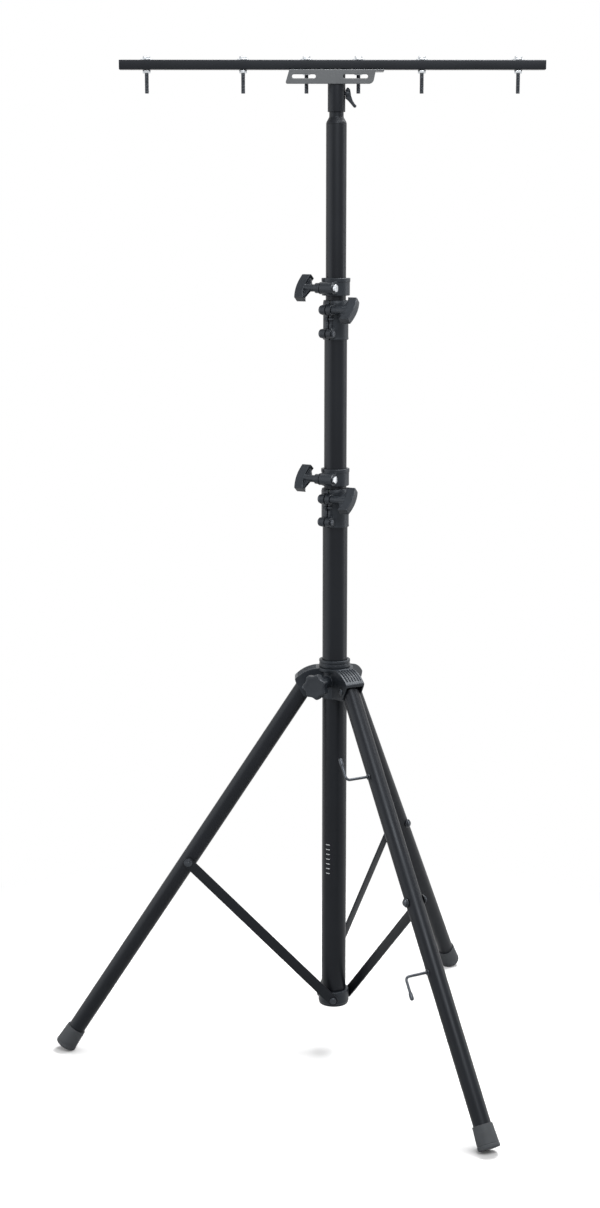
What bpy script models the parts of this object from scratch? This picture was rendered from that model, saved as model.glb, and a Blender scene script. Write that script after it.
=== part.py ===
"""Telescopic lighting tripod with a T-bar. Metres, +Z up, the floor at z = 0.

The pole stands on its own axis at x = POLE_X, so that the origin lies under the middle of the whole stand.
It is modelled as in use: legs spread, the tubes part way out and the bar level along X.
"""

import math

import bmesh
import bpy
from mathutils import Matrix, Vector

# Clearances: between parts that are fixed to each other, and between parts that slide
FIT = 0.0003
RUNNING = 0.0004

# Tubes
BASE_R = 0.025
MIDDLE_R = 0.0225
TOP_R = 0.02
WALL = 0.0012
BASE_BOTTOM = 0.108
BASE_TOP = 1.188
MIDDLE_LENGTH = 1.1
TOP_LENGTH = 1.1
TUBE_SIDES = 24

# How far the tubes are drawn out
MIDDLE_TOP = 1.56
TOP_TOP = 1.901
STOP_FLANGE = 0.012
STOP_PLUG = 0.015

# Clamp sleeves on the tops of the base and middle tubes
SLEEVE_HEIGHT = 0.077
SLEEVE_LIP = 0.002
SLEEVE_WALL = 0.0025
LINER_DEPTH = 0.14
LINER_RIM = 0.0014
EAR_AZIMUTH = math.radians(240.0)
EAR_REACH = 0.0125
EAR_SLIT = 0.0024
SLEEVE_EAR_HEIGHT = 0.059
SLEEVE_EAR_R = 0.01
SLEEVE_EAR_WIDTH = 0.022
SCREW_EAR_HEIGHT = 0.013
SCREW_EAR_R = 0.0095
SCREW_EAR_WIDTH = 0.022

# Safety collars on the middle and top tubes
COLLAR_R = 0.0278
COLLAR_HEIGHT = 0.034
COLLAR_FLANGE = 0.007
FLANGE_OUT = 0.0006
LOWER_GAP = 0.006
UPPER_GAP = 0.009
COLLAR_EAR_HEIGHT = 0.015
COLLAR_EAR_OUT = 0.036
COLLAR_EAR_R = 0.0117
COLLAR_EAR_WIDTH = 0.031
COLLAR_SLIT = 0.0012
COLLAR_SLIT_AT = -0.0125

# Handles, nuts and screws of the clamps
CLAMP_BOLT_R = 0.004
STEM_R = 0.0075
SLEEVE_STEM = 0.0272
COLLAR_STEM = 0.0255
COLLAR_STEP_R = 0.01
COLLAR_STEP = 0.009
GRIP_HALF = 0.0275
GRIP_END_THICK = 0.02
GRIP_ARCH = 0.0045
GRIP_WIDTH = 0.016
GRIP_HOLLOW = 0.006
GRIP_EDGE = 0.003
GRIP_WEB = 0.006
WEB_REACH = 0.006
SLEEVE_HANDLE_TILT = math.radians(43.0)
COLLAR_HANDLE_TILT = math.radians(37.0)
CAP_NUT_R = 0.0088
CAP_NUT_THICK = 0.006
HEX_ACROSS = 0.013
HEX_THICK = 0.0055

# Ring at the foot of the pole
BASE_COLLAR_R = 0.0315
BASE_COLLAR_BOTTOM = 0.105
BASE_COLLAR_TOP = 0.137
EDGE = 0.001

# Hub and leg pivots
HUB_R = 0.031
HUB_BOTTOM = 0.765
HUB_TOP = 0.828
HUB_STEP = 0.0004
WEB_R = 0.0375
WEB_THICK = 0.0065
BUSH_TOP = 0.843
BUSH_R = 0.0315
BUSH_WALL = 0.0016
GROOVE_DEPTH = 0.0012
PIVOT_R = 0.06
PIVOT_Z = 0.788
HOOD_WALL = 0.0032
HOOD_ROOT = 0.012
HOOD_CENTRE = 0.03
HOOD_R = 0.0679
HOOD_FRONT = 0.081
HOOD_LIP = 0.799
HOOD_LIP_IN = 0.0015
TOE_OUT = 0.059
TOE_UP = 0.01
TOE_R = 0.0065
CHEEK_GAP = 0.0006
RIB_GROOVES = 6
RIB_DEPTH = 0.0016
RIB_PITCH = 0.0056
RIB_GROOVE = 0.0022
PIVOT_BOLT_R = 0.004
PIVOT_HEAD_R = 0.0072
PIVOT_HEAD = 0.0036

# Legs and feet
LEG_AZIMUTHS = [math.radians(a) for a in (180.0, -60.0, 60.0)]
LEG_ANGLE = math.radians(33.03)
LEG_R = 0.0175
LEG_ABOVE_PIVOT = 0.0085
FOOT_R_TOP = 0.02
FOOT_R_BOTTOM = 0.022
FOOT_ROUND = 0.004
FOOT_LENGTH = 0.046
FOOT_FLOOR = 0.006

# Star knob
KNOB_AZIMUTH = math.radians(240.0)
KNOB_Z = 0.8
KNOB_R = 0.0238
KNOB_LOBE = 0.0022
KNOB_LOBES = 7
KNOB_FACE = 0.086
KNOB_THICK = 0.017
KNOB_BOSS_R = 0.012
KNOB_STEM_R = 0.005

# Braces
BRACE_ON_LEG = 0.4425
BRACE_PIN_R = 0.002
BRACE_PIN_Z = 0.121
BRACE_WIDTH = 0.021
BRACE_THICK = 0.0035
BRACE_FLAT = 0.024
BRACE_BOLT_R = 0.0035
PIN_HEAD_R = 0.0065
PIN_HEAD = 0.003
RING_CAP_R = 0.0095
RING_CAP = 0.0035
BOLT_CROWN = 0.0035

# Cord hooks on the front leg
HOOK_PIVOT = "leg_pivot_2"
HOOK_WIRE_R = 0.0027
HOOK_BULB_R = 0.004
HOOK_OUT = 0.0682
HOOK_BEND = 0.008
HOOK_TAIL = 0.046
HOOK_DEPTH = 0.007
UPPER_HOOK_ON_LEG = 0.182
LOWER_HOOK_ON_LEG = 0.582

# Spigot and adapter socket
NECK_R = 0.014
SHOULDER = 0.013
NECK_SHOWN = 0.0096
SPIGOT_PLUG = 0.06
SPIGOT_TIP_GAP = 0.006
SOCKET_R = 0.017
SOCKET_LENGTH = 0.0753
LEVER_UP = 0.0344
LEVER_HUB = 0.0095
LEVER_REACH = 0.0385
LEVER_DROP = 0.025
LEVER_TIP_R = 0.0032
LEVER_WIDTH = 0.01
LEVER_SCREW_R = 0.003

# Bracket, T-bar and its bolts
BRACKET_THICK = 0.003
BRACKET_HALF = 0.091
FLANGE_BACK = 0.024
PLATE_HEIGHT = 0.0272
PLATE_LEFT = -0.098
PLATE_RIGHT = 0.0745
PLATE_CORNER = 0.01
SLOT_DOWN = 0.01315
SLOT_HEIGHT = 0.0073
SLOTS = ((-0.086, -0.04), (0.012, 0.06))
BAR_LENGTH = 0.82
BAR_CENTRE = -0.008
BAR_HEIGHT = 0.018
BAR_DEPTH = 0.025
BAR_WALL = 0.0015
CAP_THICK = 0.002
CAP_PLUG = 0.012
END_BOLT_INSET = 0.0525
MIDDLE_BOLT = 0.172
BRACKET_BOLT = 0.05
BOLT_R = 0.004
BOLT_DOWN = 0.0442
BOLT_HEAD = 0.0053
WASHER_R = 0.0115
WASHER = 0.0016
NUT_THICK = 0.0065

# Places that follow from these
LEG_SIN = math.sin(LEG_ANGLE)
LEG_COS = math.cos(LEG_ANGLE)
SOLE_CORE = FOOT_R_BOTTOM - FOOT_ROUND
SOLE = (PIVOT_Z - SOLE_CORE * LEG_SIN - FOOT_ROUND) / LEG_COS + FOOT_ROUND
FOOT_REACH = PIVOT_R + (SOLE - FOOT_ROUND) * LEG_SIN + SOLE_CORE * LEG_COS + FOOT_ROUND
POLE_X = (FOOT_REACH - (BAR_CENTRE + BAR_LENGTH / 2)) / 2
HUB_BORE = BASE_R + RUNNING + BUSH_WALL + FIT
HOOD_TOP = HUB_TOP - HUB_STEP
CHEEK_IN = LEG_R + CHEEK_GAP
CHEEK_OUT = CHEEK_IN + HOOD_WALL
BRACE_FOOT_Y = BASE_COLLAR_R + FIT + BRACE_THICK / 2
BRACE_LEG_Y = LEG_R + RUNNING + BRACE_THICK / 2
BRACE_RISE = PIVOT_Z - BRACE_ON_LEG * LEG_COS - BRACE_PIN_Z
BRACE_RUN = PIVOT_R + BRACE_ON_LEG * LEG_SIN - BRACE_PIN_R
BRACE_LENGTH = math.hypot(BRACE_RUN, BRACE_RISE)
BRACE_ANGLE = math.atan2(BRACE_RUN, BRACE_RISE)
SOCKET_BOTTOM = TOP_TOP + SHOULDER + NECK_SHOWN
SOCKET_TOP = SOCKET_BOTTOM + SOCKET_LENGTH
LEVER_Z = SOCKET_BOTTOM + LEVER_UP
BRACKET_TOP = SOCKET_TOP + FIT + BRACKET_THICK
PLATE_BOTTOM = BRACKET_TOP - PLATE_HEIGHT
SLOT_Z = BRACKET_TOP - SLOT_DOWN
BOLT_END = BRACKET_TOP - BOLT_DOWN
PLATE_FRONT = -SOCKET_R - FIT - BRACKET_THICK
BAR_BOTTOM = BRACKET_TOP + FIT
BAR_TOP = BAR_BOTTOM + BAR_HEIGHT
END_BOLT = BAR_LENGTH / 2 - END_BOLT_INSET
BOLT_OFFSETS = (-END_BOLT, -MIDDLE_BOLT, -BRACKET_BOLT, BRACKET_BOLT, MIDDLE_BOLT, END_BOLT)

# Turns that lay a shape made along Z on its side
ALONG_X = (0, math.pi / 2, 0)
ALONG_Y = (-math.pi / 2, 0, 0)
UPRIGHT = (math.pi / 2, 0, 0)
UPRIGHT_ACROSS = (math.pi / 2, 0, math.pi / 2)

for old in list(bpy.data.objects):
    bpy.data.objects.remove(old, do_unlink=True)

parts = bpy.data.collections.new("telescopic_tripod")
cutters = bpy.data.collections.new("cutters")
for group in (parts, cutters):
    bpy.context.scene.collection.children.link(group)
cutters.hide_render = True


def finish(name, colour, roughness, metallic=0.0):
    """One Principled material."""
    material = bpy.data.materials.new(name)
    material.use_nodes = True
    shader = material.node_tree.nodes["Principled BSDF"]
    shader.inputs["Base Color"].default_value = (*colour, 1.0)
    shader.inputs["Roughness"].default_value = roughness
    shader.inputs["Metallic"].default_value = metallic
    return material


BLACK_PAINT = finish("black_powder_coat", (0.022, 0.023, 0.026), 0.42)
BLACK_STEEL = finish("black_steel", (0.018, 0.020, 0.022), 0.35)
BLACK_NYLON = finish("black_nylon", (0.030, 0.032, 0.037), 0.5)
WHITE_NYLON = finish("natural_nylon", (0.60, 0.59, 0.55), 0.5)
GREY_PAINT = finish("grey_bracket_paint", (0.060, 0.062, 0.066), 0.4)
ZINC = finish("zinc_plate", (0.55, 0.56, 0.57), 0.3, 1.0)
RUBBER = finish("grey_rubber", (0.050, 0.050, 0.052), 0.75)


def frame_at(name, parent, location, azimuth=0.0, tilt=0.0):
    """An empty, turned by the azimuth about Z and then by the tilt about its own Y."""
    empty = bpy.data.objects.new(name, None)
    parts.objects.link(empty)
    empty.parent = parent
    empty.location = location
    empty.rotation_euler = (0.0, tilt, azimuth)
    return empty


def place(obj, material, parent, location=(0, 0, 0), rotation=(0, 0, 0)):
    """Put an object on its parent; one without a material is a cutter or a shape to be joined."""
    home = parts if material else cutters
    home.objects.link(obj)
    if material:
        obj.data.materials.append(material)
    else:
        obj.hide_render = True
        obj.display_type = "WIRE"
    obj.parent = parent
    obj.location = location
    obj.rotation_euler = rotation
    return obj


def as_mesh(obj, name):
    """The object's shape with its modifiers applied."""
    bpy.context.view_layer.update()
    graph = bpy.context.evaluated_depsgraph_get()
    mesh = bpy.data.meshes.new_from_object(obj.evaluated_get(graph))
    mesh.name = name
    return mesh


def turned(name, material, parent, profile, closed=False, steps=TUBE_SIDES, **where):
    """A turned shape: its (radius, height) points run down the outer side, top to bottom."""
    mesh = bpy.data.meshes.new(name)
    edges = [(i, i + 1) for i in range(len(profile) - 1)]
    if closed:
        edges.append((len(profile) - 1, 0))
    mesh.from_pydata([(r, 0, z) for r, z in profile], edges, [])
    obj = bpy.data.objects.new(name, mesh)
    spin = obj.modifiers.new("turn", "SCREW")
    spin.axis = "Z"
    spin.steps = spin.render_steps = steps
    spin.use_merge_vertices = True
    spin.merge_threshold = 0.00005
    return place(obj, material, parent, **where)


def tube(name, material, parent, outer, inner, bottom, top, **where):
    """A round tube."""
    profile = [(outer, top), (outer, bottom), (inner, bottom), (inner, top)]
    return turned(name, material, parent, profile, closed=True, **where)


def rod(name, material, parent, radius, bottom, top, steps=16, **where):
    """A round rod."""
    profile = [(0, top), (radius, top), (radius, bottom), (0, bottom)]
    return turned(name, material, parent, profile, steps=steps, **where)


def box(name, material, parent, low, high, **where):
    """A box from its low corner to its high corner."""
    size = [b - a for a, b in zip(low, high)]
    middle = [(b + a) / 2 for a, b in zip(low, high)]
    bm = bmesh.new()
    bmesh.ops.create_cube(bm, size=1.0)
    bmesh.ops.transform(bm, matrix=Matrix.Translation(middle) @ Matrix.Diagonal((*size, 1.0)), verts=bm.verts)
    mesh = bpy.data.meshes.new(name)
    bm.to_mesh(mesh)
    bm.free()
    return place(bpy.data.objects.new(name, mesh), material, parent, **where)


def plate(name, material, parent, outline, thickness, edge=0.0, **where):
    """A flat outline, extruded by half the thickness to each side, with rounded rims where asked."""
    curve = bpy.data.curves.new(name, "CURVE")
    curve.dimensions = "2D"
    curve.fill_mode = "BOTH"
    curve.extrude = thickness / 2
    spline = curve.splines.new("POLY")
    spline.points.add(len(outline) - 1)
    for point, (x, y) in zip(spline.points, outline):
        point.co = (x, y, 0, 1)
    spline.use_cyclic_u = True
    drawn = bpy.data.objects.new(name + "_outline", curve)
    cutters.objects.link(drawn)
    mesh = as_mesh(drawn, name)
    bpy.data.objects.remove(drawn, do_unlink=True)
    bm = bmesh.new()
    bm.from_mesh(mesh)
    bmesh.ops.remove_doubles(bm, verts=bm.verts, dist=0.00001)
    bmesh.ops.dissolve_limit(bm, angle_limit=0.001, verts=bm.verts, edges=bm.edges)
    bmesh.ops.recalc_face_normals(bm, faces=bm.faces)
    bm.to_mesh(mesh)
    bm.free()
    obj = bpy.data.objects.new(name, mesh)
    if edge:
        bevel = obj.modifiers.new("edge", "BEVEL")
        bevel.width = edge
        bevel.segments = 1
        bevel.limit_method = "ANGLE"
        bevel.angle_limit = math.radians(50)
    return place(obj, material, parent, **where)


def gathered(name, pieces):
    """One helper made of several that don't touch each other."""
    bm = bmesh.new()
    for piece in pieces:
        mesh = as_mesh(piece, "piece")
        mesh.transform(piece.matrix_world)
        bm.from_mesh(mesh)
        bpy.data.meshes.remove(mesh)
        bpy.data.objects.remove(piece, do_unlink=True)
    mesh = bpy.data.meshes.new(name)
    bm.to_mesh(mesh)
    bm.free()
    return place(bpy.data.objects.new(name, mesh), None, None)


def split(obj, direction, places):
    """Cut extra edges into a mesh where planes across the direction meet it."""
    bm = bmesh.new()
    bm.from_mesh(obj.data)
    for at in places:
        everything = bm.verts[:] + bm.edges[:] + bm.faces[:]
        bmesh.ops.bisect_plane(bm, geom=everything, plane_co=at * Vector(direction), plane_no=direction)
    bm.to_mesh(obj.data)
    bm.free()


def combine(target, other, operation):
    """Join another shape to the object, or cut it with one."""
    step = target.modifiers.new(operation.lower(), "BOOLEAN")
    step.operation = operation
    step.object = other


def join(target, *others):
    for other in others:
        combine(target, other, "UNION")


def cut(target, *others):
    for other in others:
        combine(target, other, "DIFFERENCE")


def arc(centre, radius, start, end, steps):
    """Points on an arc from one angle to another, in degrees, both ends included."""
    points = []
    for i in range(steps + 1):
        angle = math.radians(start + (end - start) * i / steps)
        points.append((centre[0] + radius * math.cos(angle), centre[1] + radius * math.sin(angle)))
    return points


def stadium(low, high, middle, width):
    """A slot with round ends, from low to high along X."""
    r = width / 2
    return arc((high - r, middle), r, -90, 90, 6) + arc((low + r, middle), r, 90, 270, 6)


def hexagon(across):
    """A hexagon from its width across flats."""
    return arc((0, 0), across / math.sqrt(3), 0, 300, 5)


pole = frame_at("pole_axis", None, (POLE_X, 0, 0))

# Base tube, and the moulded ring that closes its foot and carries the screws of the three braces
tube("base_tube", BLACK_PAINT, pole, BASE_R, BASE_R - WALL, BASE_BOTTOM, BASE_TOP)
seat = BASE_R + FIT
floor = BASE_BOTTOM - FIT
base_collar = turned("base_collar", BLACK_NYLON, pole, [
    (0, floor),
    (seat, floor),
    (seat, BASE_COLLAR_TOP),
    (BASE_COLLAR_R - EDGE, BASE_COLLAR_TOP),
    (BASE_COLLAR_R, BASE_COLLAR_TOP - EDGE),
    (BASE_COLLAR_R, BASE_COLLAR_BOTTOM + EDGE),
    (BASE_COLLAR_R - EDGE, BASE_COLLAR_BOTTOM),
    (0, BASE_COLLAR_BOTTOM),
])

# Hub: one moulding with a bore, a ribbed hood over each leg and two cheeks that hold its pivot bolt
hub = rod("hub", BLACK_NYLON, pole, HUB_R, HUB_BOTTOM, HUB_TOP, steps=TUBE_SIDES)


def hood_side(grow):
    """The top of the hood from the side, as (radius, height), grown outwards or inwards."""
    end = math.degrees(math.acos((HOOD_FRONT + grow - HOOD_CENTRE) / (HOOD_R + grow)))
    return arc((HOOD_CENTRE, HOOD_TOP - HOOD_R), HOOD_R + grow, 90, end, 7)


below = HUB_BOTTOM - 0.02
beyond = HOOD_FRONT + 0.02
room_back = HUB_R + HOOD_WALL / 2
rooms = []
holes = []
grooves = []
for number, azimuth in enumerate(LEG_AZIMUTHS, 1):
    side = frame_at(f"leg_side_{number}", pole, (0, 0, 0), azimuth)
    toe = arc((TOE_OUT, HUB_BOTTOM + TOE_UP), TOE_R, -25, -90, 4)
    outline = hood_side(0) + [(HOOD_FRONT - HOOD_LIP_IN, HOOD_LIP)] + toe
    outline += [(HOOD_ROOT, HUB_BOTTOM + EDGE), (HOOD_ROOT, HOOD_TOP)]
    join(hub, plate(f"hood_{number}", None, side, outline, 2 * CHEEK_OUT, rotation=UPRIGHT))
    outline = hood_side(-HOOD_WALL) + [
        (HOOD_FRONT - HOOD_WALL, HOOD_LIP),
        (beyond, HOOD_LIP),
        (beyond, below),
        (room_back, below),
    ]
    rooms.append(plate("room", None, side, outline, 2 * CHEEK_IN, rotation=UPRIGHT))
    holes.append(rod("hole", None, side, PIVOT_BOLT_R + FIT, -CHEEK_OUT - HOOD_WALL, CHEEK_OUT + HOOD_WALL,
                     steps=12, location=(PIVOT_R, 0, PIVOT_Z), rotation=ALONG_Y))
    for i in range(RIB_GROOVES):
        across = (i - (RIB_GROOVES - 1) / 2) * RIB_PITCH
        outline = hood_side(RIB_GROOVE) + hood_side(-RIB_DEPTH)[::-1]
        grooves.append(plate("groove", None, side, outline, RIB_GROOVE, location=(0, across, 0),
                             rotation=UPRIGHT))
cut(hub, gathered("leg_rooms", rooms), gathered("pivot_holes", holes))
web_top = HOOD_TOP - HUB_STEP
join(hub, rod("hub_web", None, pole, WEB_R, web_top - WEB_THICK, web_top, steps=TUBE_SIDES))
knob_side = frame_at("knob_side", pole, (0, 0, KNOB_Z), KNOB_AZIMUTH)
knob_back = KNOB_FACE - KNOB_THICK
join(hub, rod("knob_boss", None, knob_side, KNOB_BOSS_R, HOOD_ROOT, knob_back - RUNNING, steps=20,
              rotation=ALONG_X))
cut(hub, rod("hub_bore", None, pole, HUB_BORE, HUB_BOTTOM - HOOD_WALL, HUB_TOP + HOOD_WALL, steps=TUBE_SIDES))
cut(hub, rod("knob_hole", None, knob_side, KNOB_STEM_R + FIT, HOOD_ROOT, KNOB_FACE, steps=12,
             rotation=ALONG_X))
cut(hub, gathered("rib_grooves", grooves))
for step in hub.modifiers:
    if step.type == "BOOLEAN":
        step.solver = "MANIFOLD"

# Liner of the hub, with the grooved ring that shows above it
slide = BASE_R + RUNNING
ring_low = HUB_TOP + FIT
ring_mid = (ring_low + BUSH_TOP) / 2
turned("hub_bush", BLACK_NYLON, pole, [
    (slide, BUSH_TOP),
    (BUSH_R - EDGE, BUSH_TOP),
    (BUSH_R, BUSH_TOP - EDGE),
    (BUSH_R, ring_mid + 2 * EDGE),
    (BUSH_R - GROOVE_DEPTH, ring_mid + EDGE),
    (BUSH_R - GROOVE_DEPTH, ring_mid - EDGE),
    (BUSH_R, ring_mid - 2 * EDGE),
    (BUSH_R, ring_low),
    (HUB_BORE - FIT, ring_low),
    (HUB_BORE - FIT, HUB_BOTTOM + EDGE),
    (slide, HUB_BOTTOM + EDGE),
], closed=True)

# Star knob: seven lobes, and a stem that presses on the liner
lobes = []
for i in range(6 * KNOB_LOBES):
    angle = math.tau * i / (6 * KNOB_LOBES)
    reach = KNOB_R + KNOB_LOBE * math.sin(KNOB_LOBES * angle)
    lobes.append((reach * math.cos(angle), reach * math.sin(angle)))
knob = plate("star_knob", BLACK_NYLON, knob_side, lobes, KNOB_THICK, edge=EDGE,
             location=(KNOB_FACE - KNOB_THICK / 2, 0, 0), rotation=ALONG_X)
join(knob, rod("knob_stem", None, knob_side, KNOB_STEM_R, HUB_BORE, KNOB_FACE - KNOB_THICK / 2, steps=12,
               rotation=ALONG_X))

# Legs, their pivot bolts and feet, and the braces
crown = PIN_HEAD_R - 2 * EDGE
for number in (1, 2, 3):
    side = bpy.data.objects[f"leg_side_{number}"]
    pivot = frame_at(f"leg_pivot_{number}", side, (PIVOT_R, 0, PIVOT_Z), tilt=-LEG_ANGLE)
    head = CHEEK_OUT + FIT
    turned(f"pivot_bolt_{number}", BLACK_STEEL, pivot, [
        (0, head + PIVOT_HEAD),
        (PIVOT_HEAD_R / 2, head + PIVOT_HEAD * 0.9),
        (PIVOT_HEAD_R, head + EDGE),
        (PIVOT_HEAD_R, head),
        (PIVOT_BOLT_R, head),
        (PIVOT_BOLT_R, -head),
        (PIVOT_HEAD_R, -head),
        (PIVOT_HEAD_R, -head - EDGE),
        (PIVOT_HEAD_R / 2, -head - PIVOT_HEAD * 0.9),
        (0, -head - PIVOT_HEAD),
    ], steps=16, rotation=ALONG_Y)
    leg_end = SOLE - FOOT_FLOOR - FIT
    leg = tube(f"leg_{number}", BLACK_PAINT, pivot, LEG_R, LEG_R - WALL, -leg_end, LEG_ABOVE_PIVOT)
    holes = [
        rod("hole", None, pivot, PIVOT_BOLT_R + FIT, -2 * LEG_R, 2 * LEG_R, steps=12, rotation=ALONG_Y),
        rod("hole", None, pivot, BRACE_BOLT_R + FIT, -2 * LEG_R, 2 * LEG_R, steps=12,
            location=(0, 0, -BRACE_ON_LEG), rotation=ALONG_Y),
    ]
    if pivot.name == HOOK_PIVOT:
        for down in (UPPER_HOOK_ON_LEG, LOWER_HOOK_ON_LEG):
            holes.append(rod("hole", None, pivot, HOOK_WIRE_R + FIT, -2 * LEG_R, 0, steps=12,
                             location=(0, 0, -down), rotation=ALONG_Y))
    cut(leg, gathered(f"leg_holes_{number}", holes))
    turned(f"foot_{number}", RUBBER, pivot, [
        (0, FOOT_FLOOR - SOLE),
        (LEG_R + FIT, FOOT_FLOOR - SOLE),
        (LEG_R + FIT, FOOT_LENGTH - SOLE),
        (FOOT_R_TOP - EDGE, FOOT_LENGTH - SOLE),
        (FOOT_R_TOP, FOOT_LENGTH - SOLE - EDGE),
        *[(SOLE_CORE + x, FOOT_ROUND - SOLE + z) for x, z in arc((0, 0), FOOT_ROUND, 0, -90, 3)],
        (0, -SOLE),
    ])
    face = LEG_R + FIT
    turned(f"brace_bolt_{number}", BLACK_STEEL, pivot, [
        (0, LEG_R),
        (BRACE_BOLT_R, LEG_R),
        (BRACE_BOLT_R, -face),
        (RING_CAP_R, -face),
        (RING_CAP_R, -face - RING_CAP),
        (PIN_HEAD_R, -face - RING_CAP),
        (PIN_HEAD_R - EDGE, -face - RING_CAP - 0.7 * BOLT_CROWN),
        (0, -face - RING_CAP - BOLT_CROWN),
    ], steps=16, location=(0, 0, -BRACE_ON_LEG), rotation=ALONG_Y)

    pin = frame_at(f"brace_pin_{number}", side, (BRACE_PIN_R, 0, BRACE_PIN_Z), tilt=BRACE_ANGLE)
    end = BRACE_WIDTH / 2
    outline = [(y, x) for x, y in stadium(-end, BRACE_LENGTH + end, 0, BRACE_WIDTH)]
    brace = plate(f"brace_{number}", BLACK_PAINT, pin, outline, BRACE_THICK, rotation=UPRIGHT)
    split(brace, (0, 1, 0), (BRACE_FLAT, BRACE_LENGTH - BRACE_FLAT))
    for vert in brace.data.vertices:
        along = (vert.co.y - BRACE_FLAT) / (BRACE_LENGTH - 2 * BRACE_FLAT)
        vert.co.z -= BRACE_FOOT_Y + (BRACE_LEG_Y - BRACE_FOOT_Y) * min(max(along, 0), 1)
    cut(brace, rod("brace_hole", None, pin, BRACE_BOLT_R + FIT, 0, 2 * BASE_COLLAR_R, steps=12,
                   rotation=ALONG_Y))
    nut_low = BRACE_LEG_Y
    nut_top = BRACE_LEG_Y + BRACE_THICK / 2 + HEX_THICK
    join(brace, rod("brace_nut", None, pin, PIN_HEAD_R, nut_low, nut_top, steps=12,
                    location=(0, 0, BRACE_LENGTH), rotation=ALONG_Y))
    turned(f"collar_screw_{number}", BLACK_STEEL, side, [
        (0, BRACE_FOOT_Y + BRACE_THICK / 2 + FIT + PIN_HEAD),
        (crown, BRACE_FOOT_Y + BRACE_THICK / 2 + FIT + PIN_HEAD),
        (PIN_HEAD_R, BRACE_FOOT_Y + BRACE_THICK / 2 + FIT + EDGE),
        (PIN_HEAD_R, BRACE_FOOT_Y + BRACE_THICK / 2 + FIT),
        (BRACE_BOLT_R, BRACE_FOOT_Y + BRACE_THICK / 2 + FIT),
        (BRACE_BOLT_R, BASE_R + 2 * FIT),
        (0, BASE_R + 2 * FIT),
    ], steps=16, location=(BRACE_PIN_R, 0, BRACE_PIN_Z), rotation=ALONG_Y)
holes = []
for number in (1, 2, 3):
    side = bpy.data.objects[f"leg_side_{number}"]
    holes.append(rod("hole", None, side, BRACE_BOLT_R + FIT, BASE_R - WALL, 2 * BASE_COLLAR_R, steps=12,
                     location=(BRACE_PIN_R, 0, BRACE_PIN_Z), rotation=ALONG_Y))
cut(base_collar, gathered("collar_holes", holes))


def hook(name, down, turn):
    """A wire hook: out of the leg sideways, then along it, up (1) or down (-1), to a thicker end."""
    bend = arc((-HOOK_OUT + HOOK_BEND, 0), HOOK_BEND, 180 + 90 * turn, 180, 5)
    points = [(-LEG_R + HOOK_DEPTH, 0)] + [(y, z + turn * HOOK_BEND) for y, z in bend]
    tail = [(-HOOK_OUT, turn * (HOOK_TAIL - step * HOOK_BULB_R)) for step in (3.2, 2.4, 0.8, 0)]
    swell = HOOK_BULB_R / HOOK_WIRE_R
    widths = [1] * len(points) + [1, swell, swell, 0.6 * swell]
    curve = bpy.data.curves.new(name, "CURVE")
    curve.dimensions = "3D"
    curve.bevel_depth = HOOK_WIRE_R
    curve.bevel_resolution = 2
    curve.use_fill_caps = True
    spline = curve.splines.new("POLY")
    spline.points.add(len(widths) - 1)
    for point, (y, z), width in zip(spline.points, points + tail, widths):
        point.co = (0, y, z, 1)
        point.radius = width
    place(bpy.data.objects.new(name, curve), BLACK_STEEL, bpy.data.objects[HOOK_PIVOT],
          location=(0, 0, -down))


hook("cable_hook_upper", UPPER_HOOK_ON_LEG, 1)
hook("cable_hook_lower", LOWER_HOOK_ON_LEG, -1)

# Inner tubes, each with a guide plug on its lower end
tube("middle_tube", BLACK_PAINT, pole, MIDDLE_R, MIDDLE_R - WALL, MIDDLE_TOP - MIDDLE_LENGTH, MIDDLE_TOP)
tube("top_tube", BLACK_PAINT, pole, TOP_R, TOP_R - WALL, TOP_TOP - TOP_LENGTH, TOP_TOP)
for name, inner, outer, end in (
    ("middle_stop", MIDDLE_R, BASE_R, MIDDLE_TOP - MIDDLE_LENGTH),
    ("top_stop", TOP_R, MIDDLE_R, TOP_TOP - TOP_LENGTH),
):
    turned(name, WHITE_NYLON, pole, [
        (0, end + STOP_PLUG),
        (inner - WALL - FIT, end + STOP_PLUG),
        (inner - WALL - FIT, end - FIT),
        (outer - WALL - RUNNING, end - FIT),
        (outer - WALL - RUNNING, end - STOP_FLANGE),
        (0, end - STOP_FLANGE),
    ])


def grip(sign):
    """The cross grip of a T-handle, as (out, along): an arch with a hollow inner side and blunt ends."""
    outer, inner = [], []
    for i in range(9):
        share = i / 4 - 1
        fall = 1 - share * share
        along = share * GRIP_HALF
        outer.append((sign * (GRIP_END_THICK + GRIP_ARCH * fall), along))
        inner.append((sign * GRIP_HOLLOW * fall, along))
    return outer + inner[::-1]


def grip_web(sign):
    """The thin web that ties the ends of the grip to its stem, as (out, along)."""
    half = GRIP_HALF - 2 * GRIP_EDGE
    waist = STEM_R - EDGE
    back = sign * (GRIP_END_THICK + GRIP_HOLLOW) / 2
    tips = sign * EDGE
    foot = -sign * WEB_REACH
    return [(back, -half), (back, half), (tips, half), (foot, waist), (foot, -waist), (tips, -half)]


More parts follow.
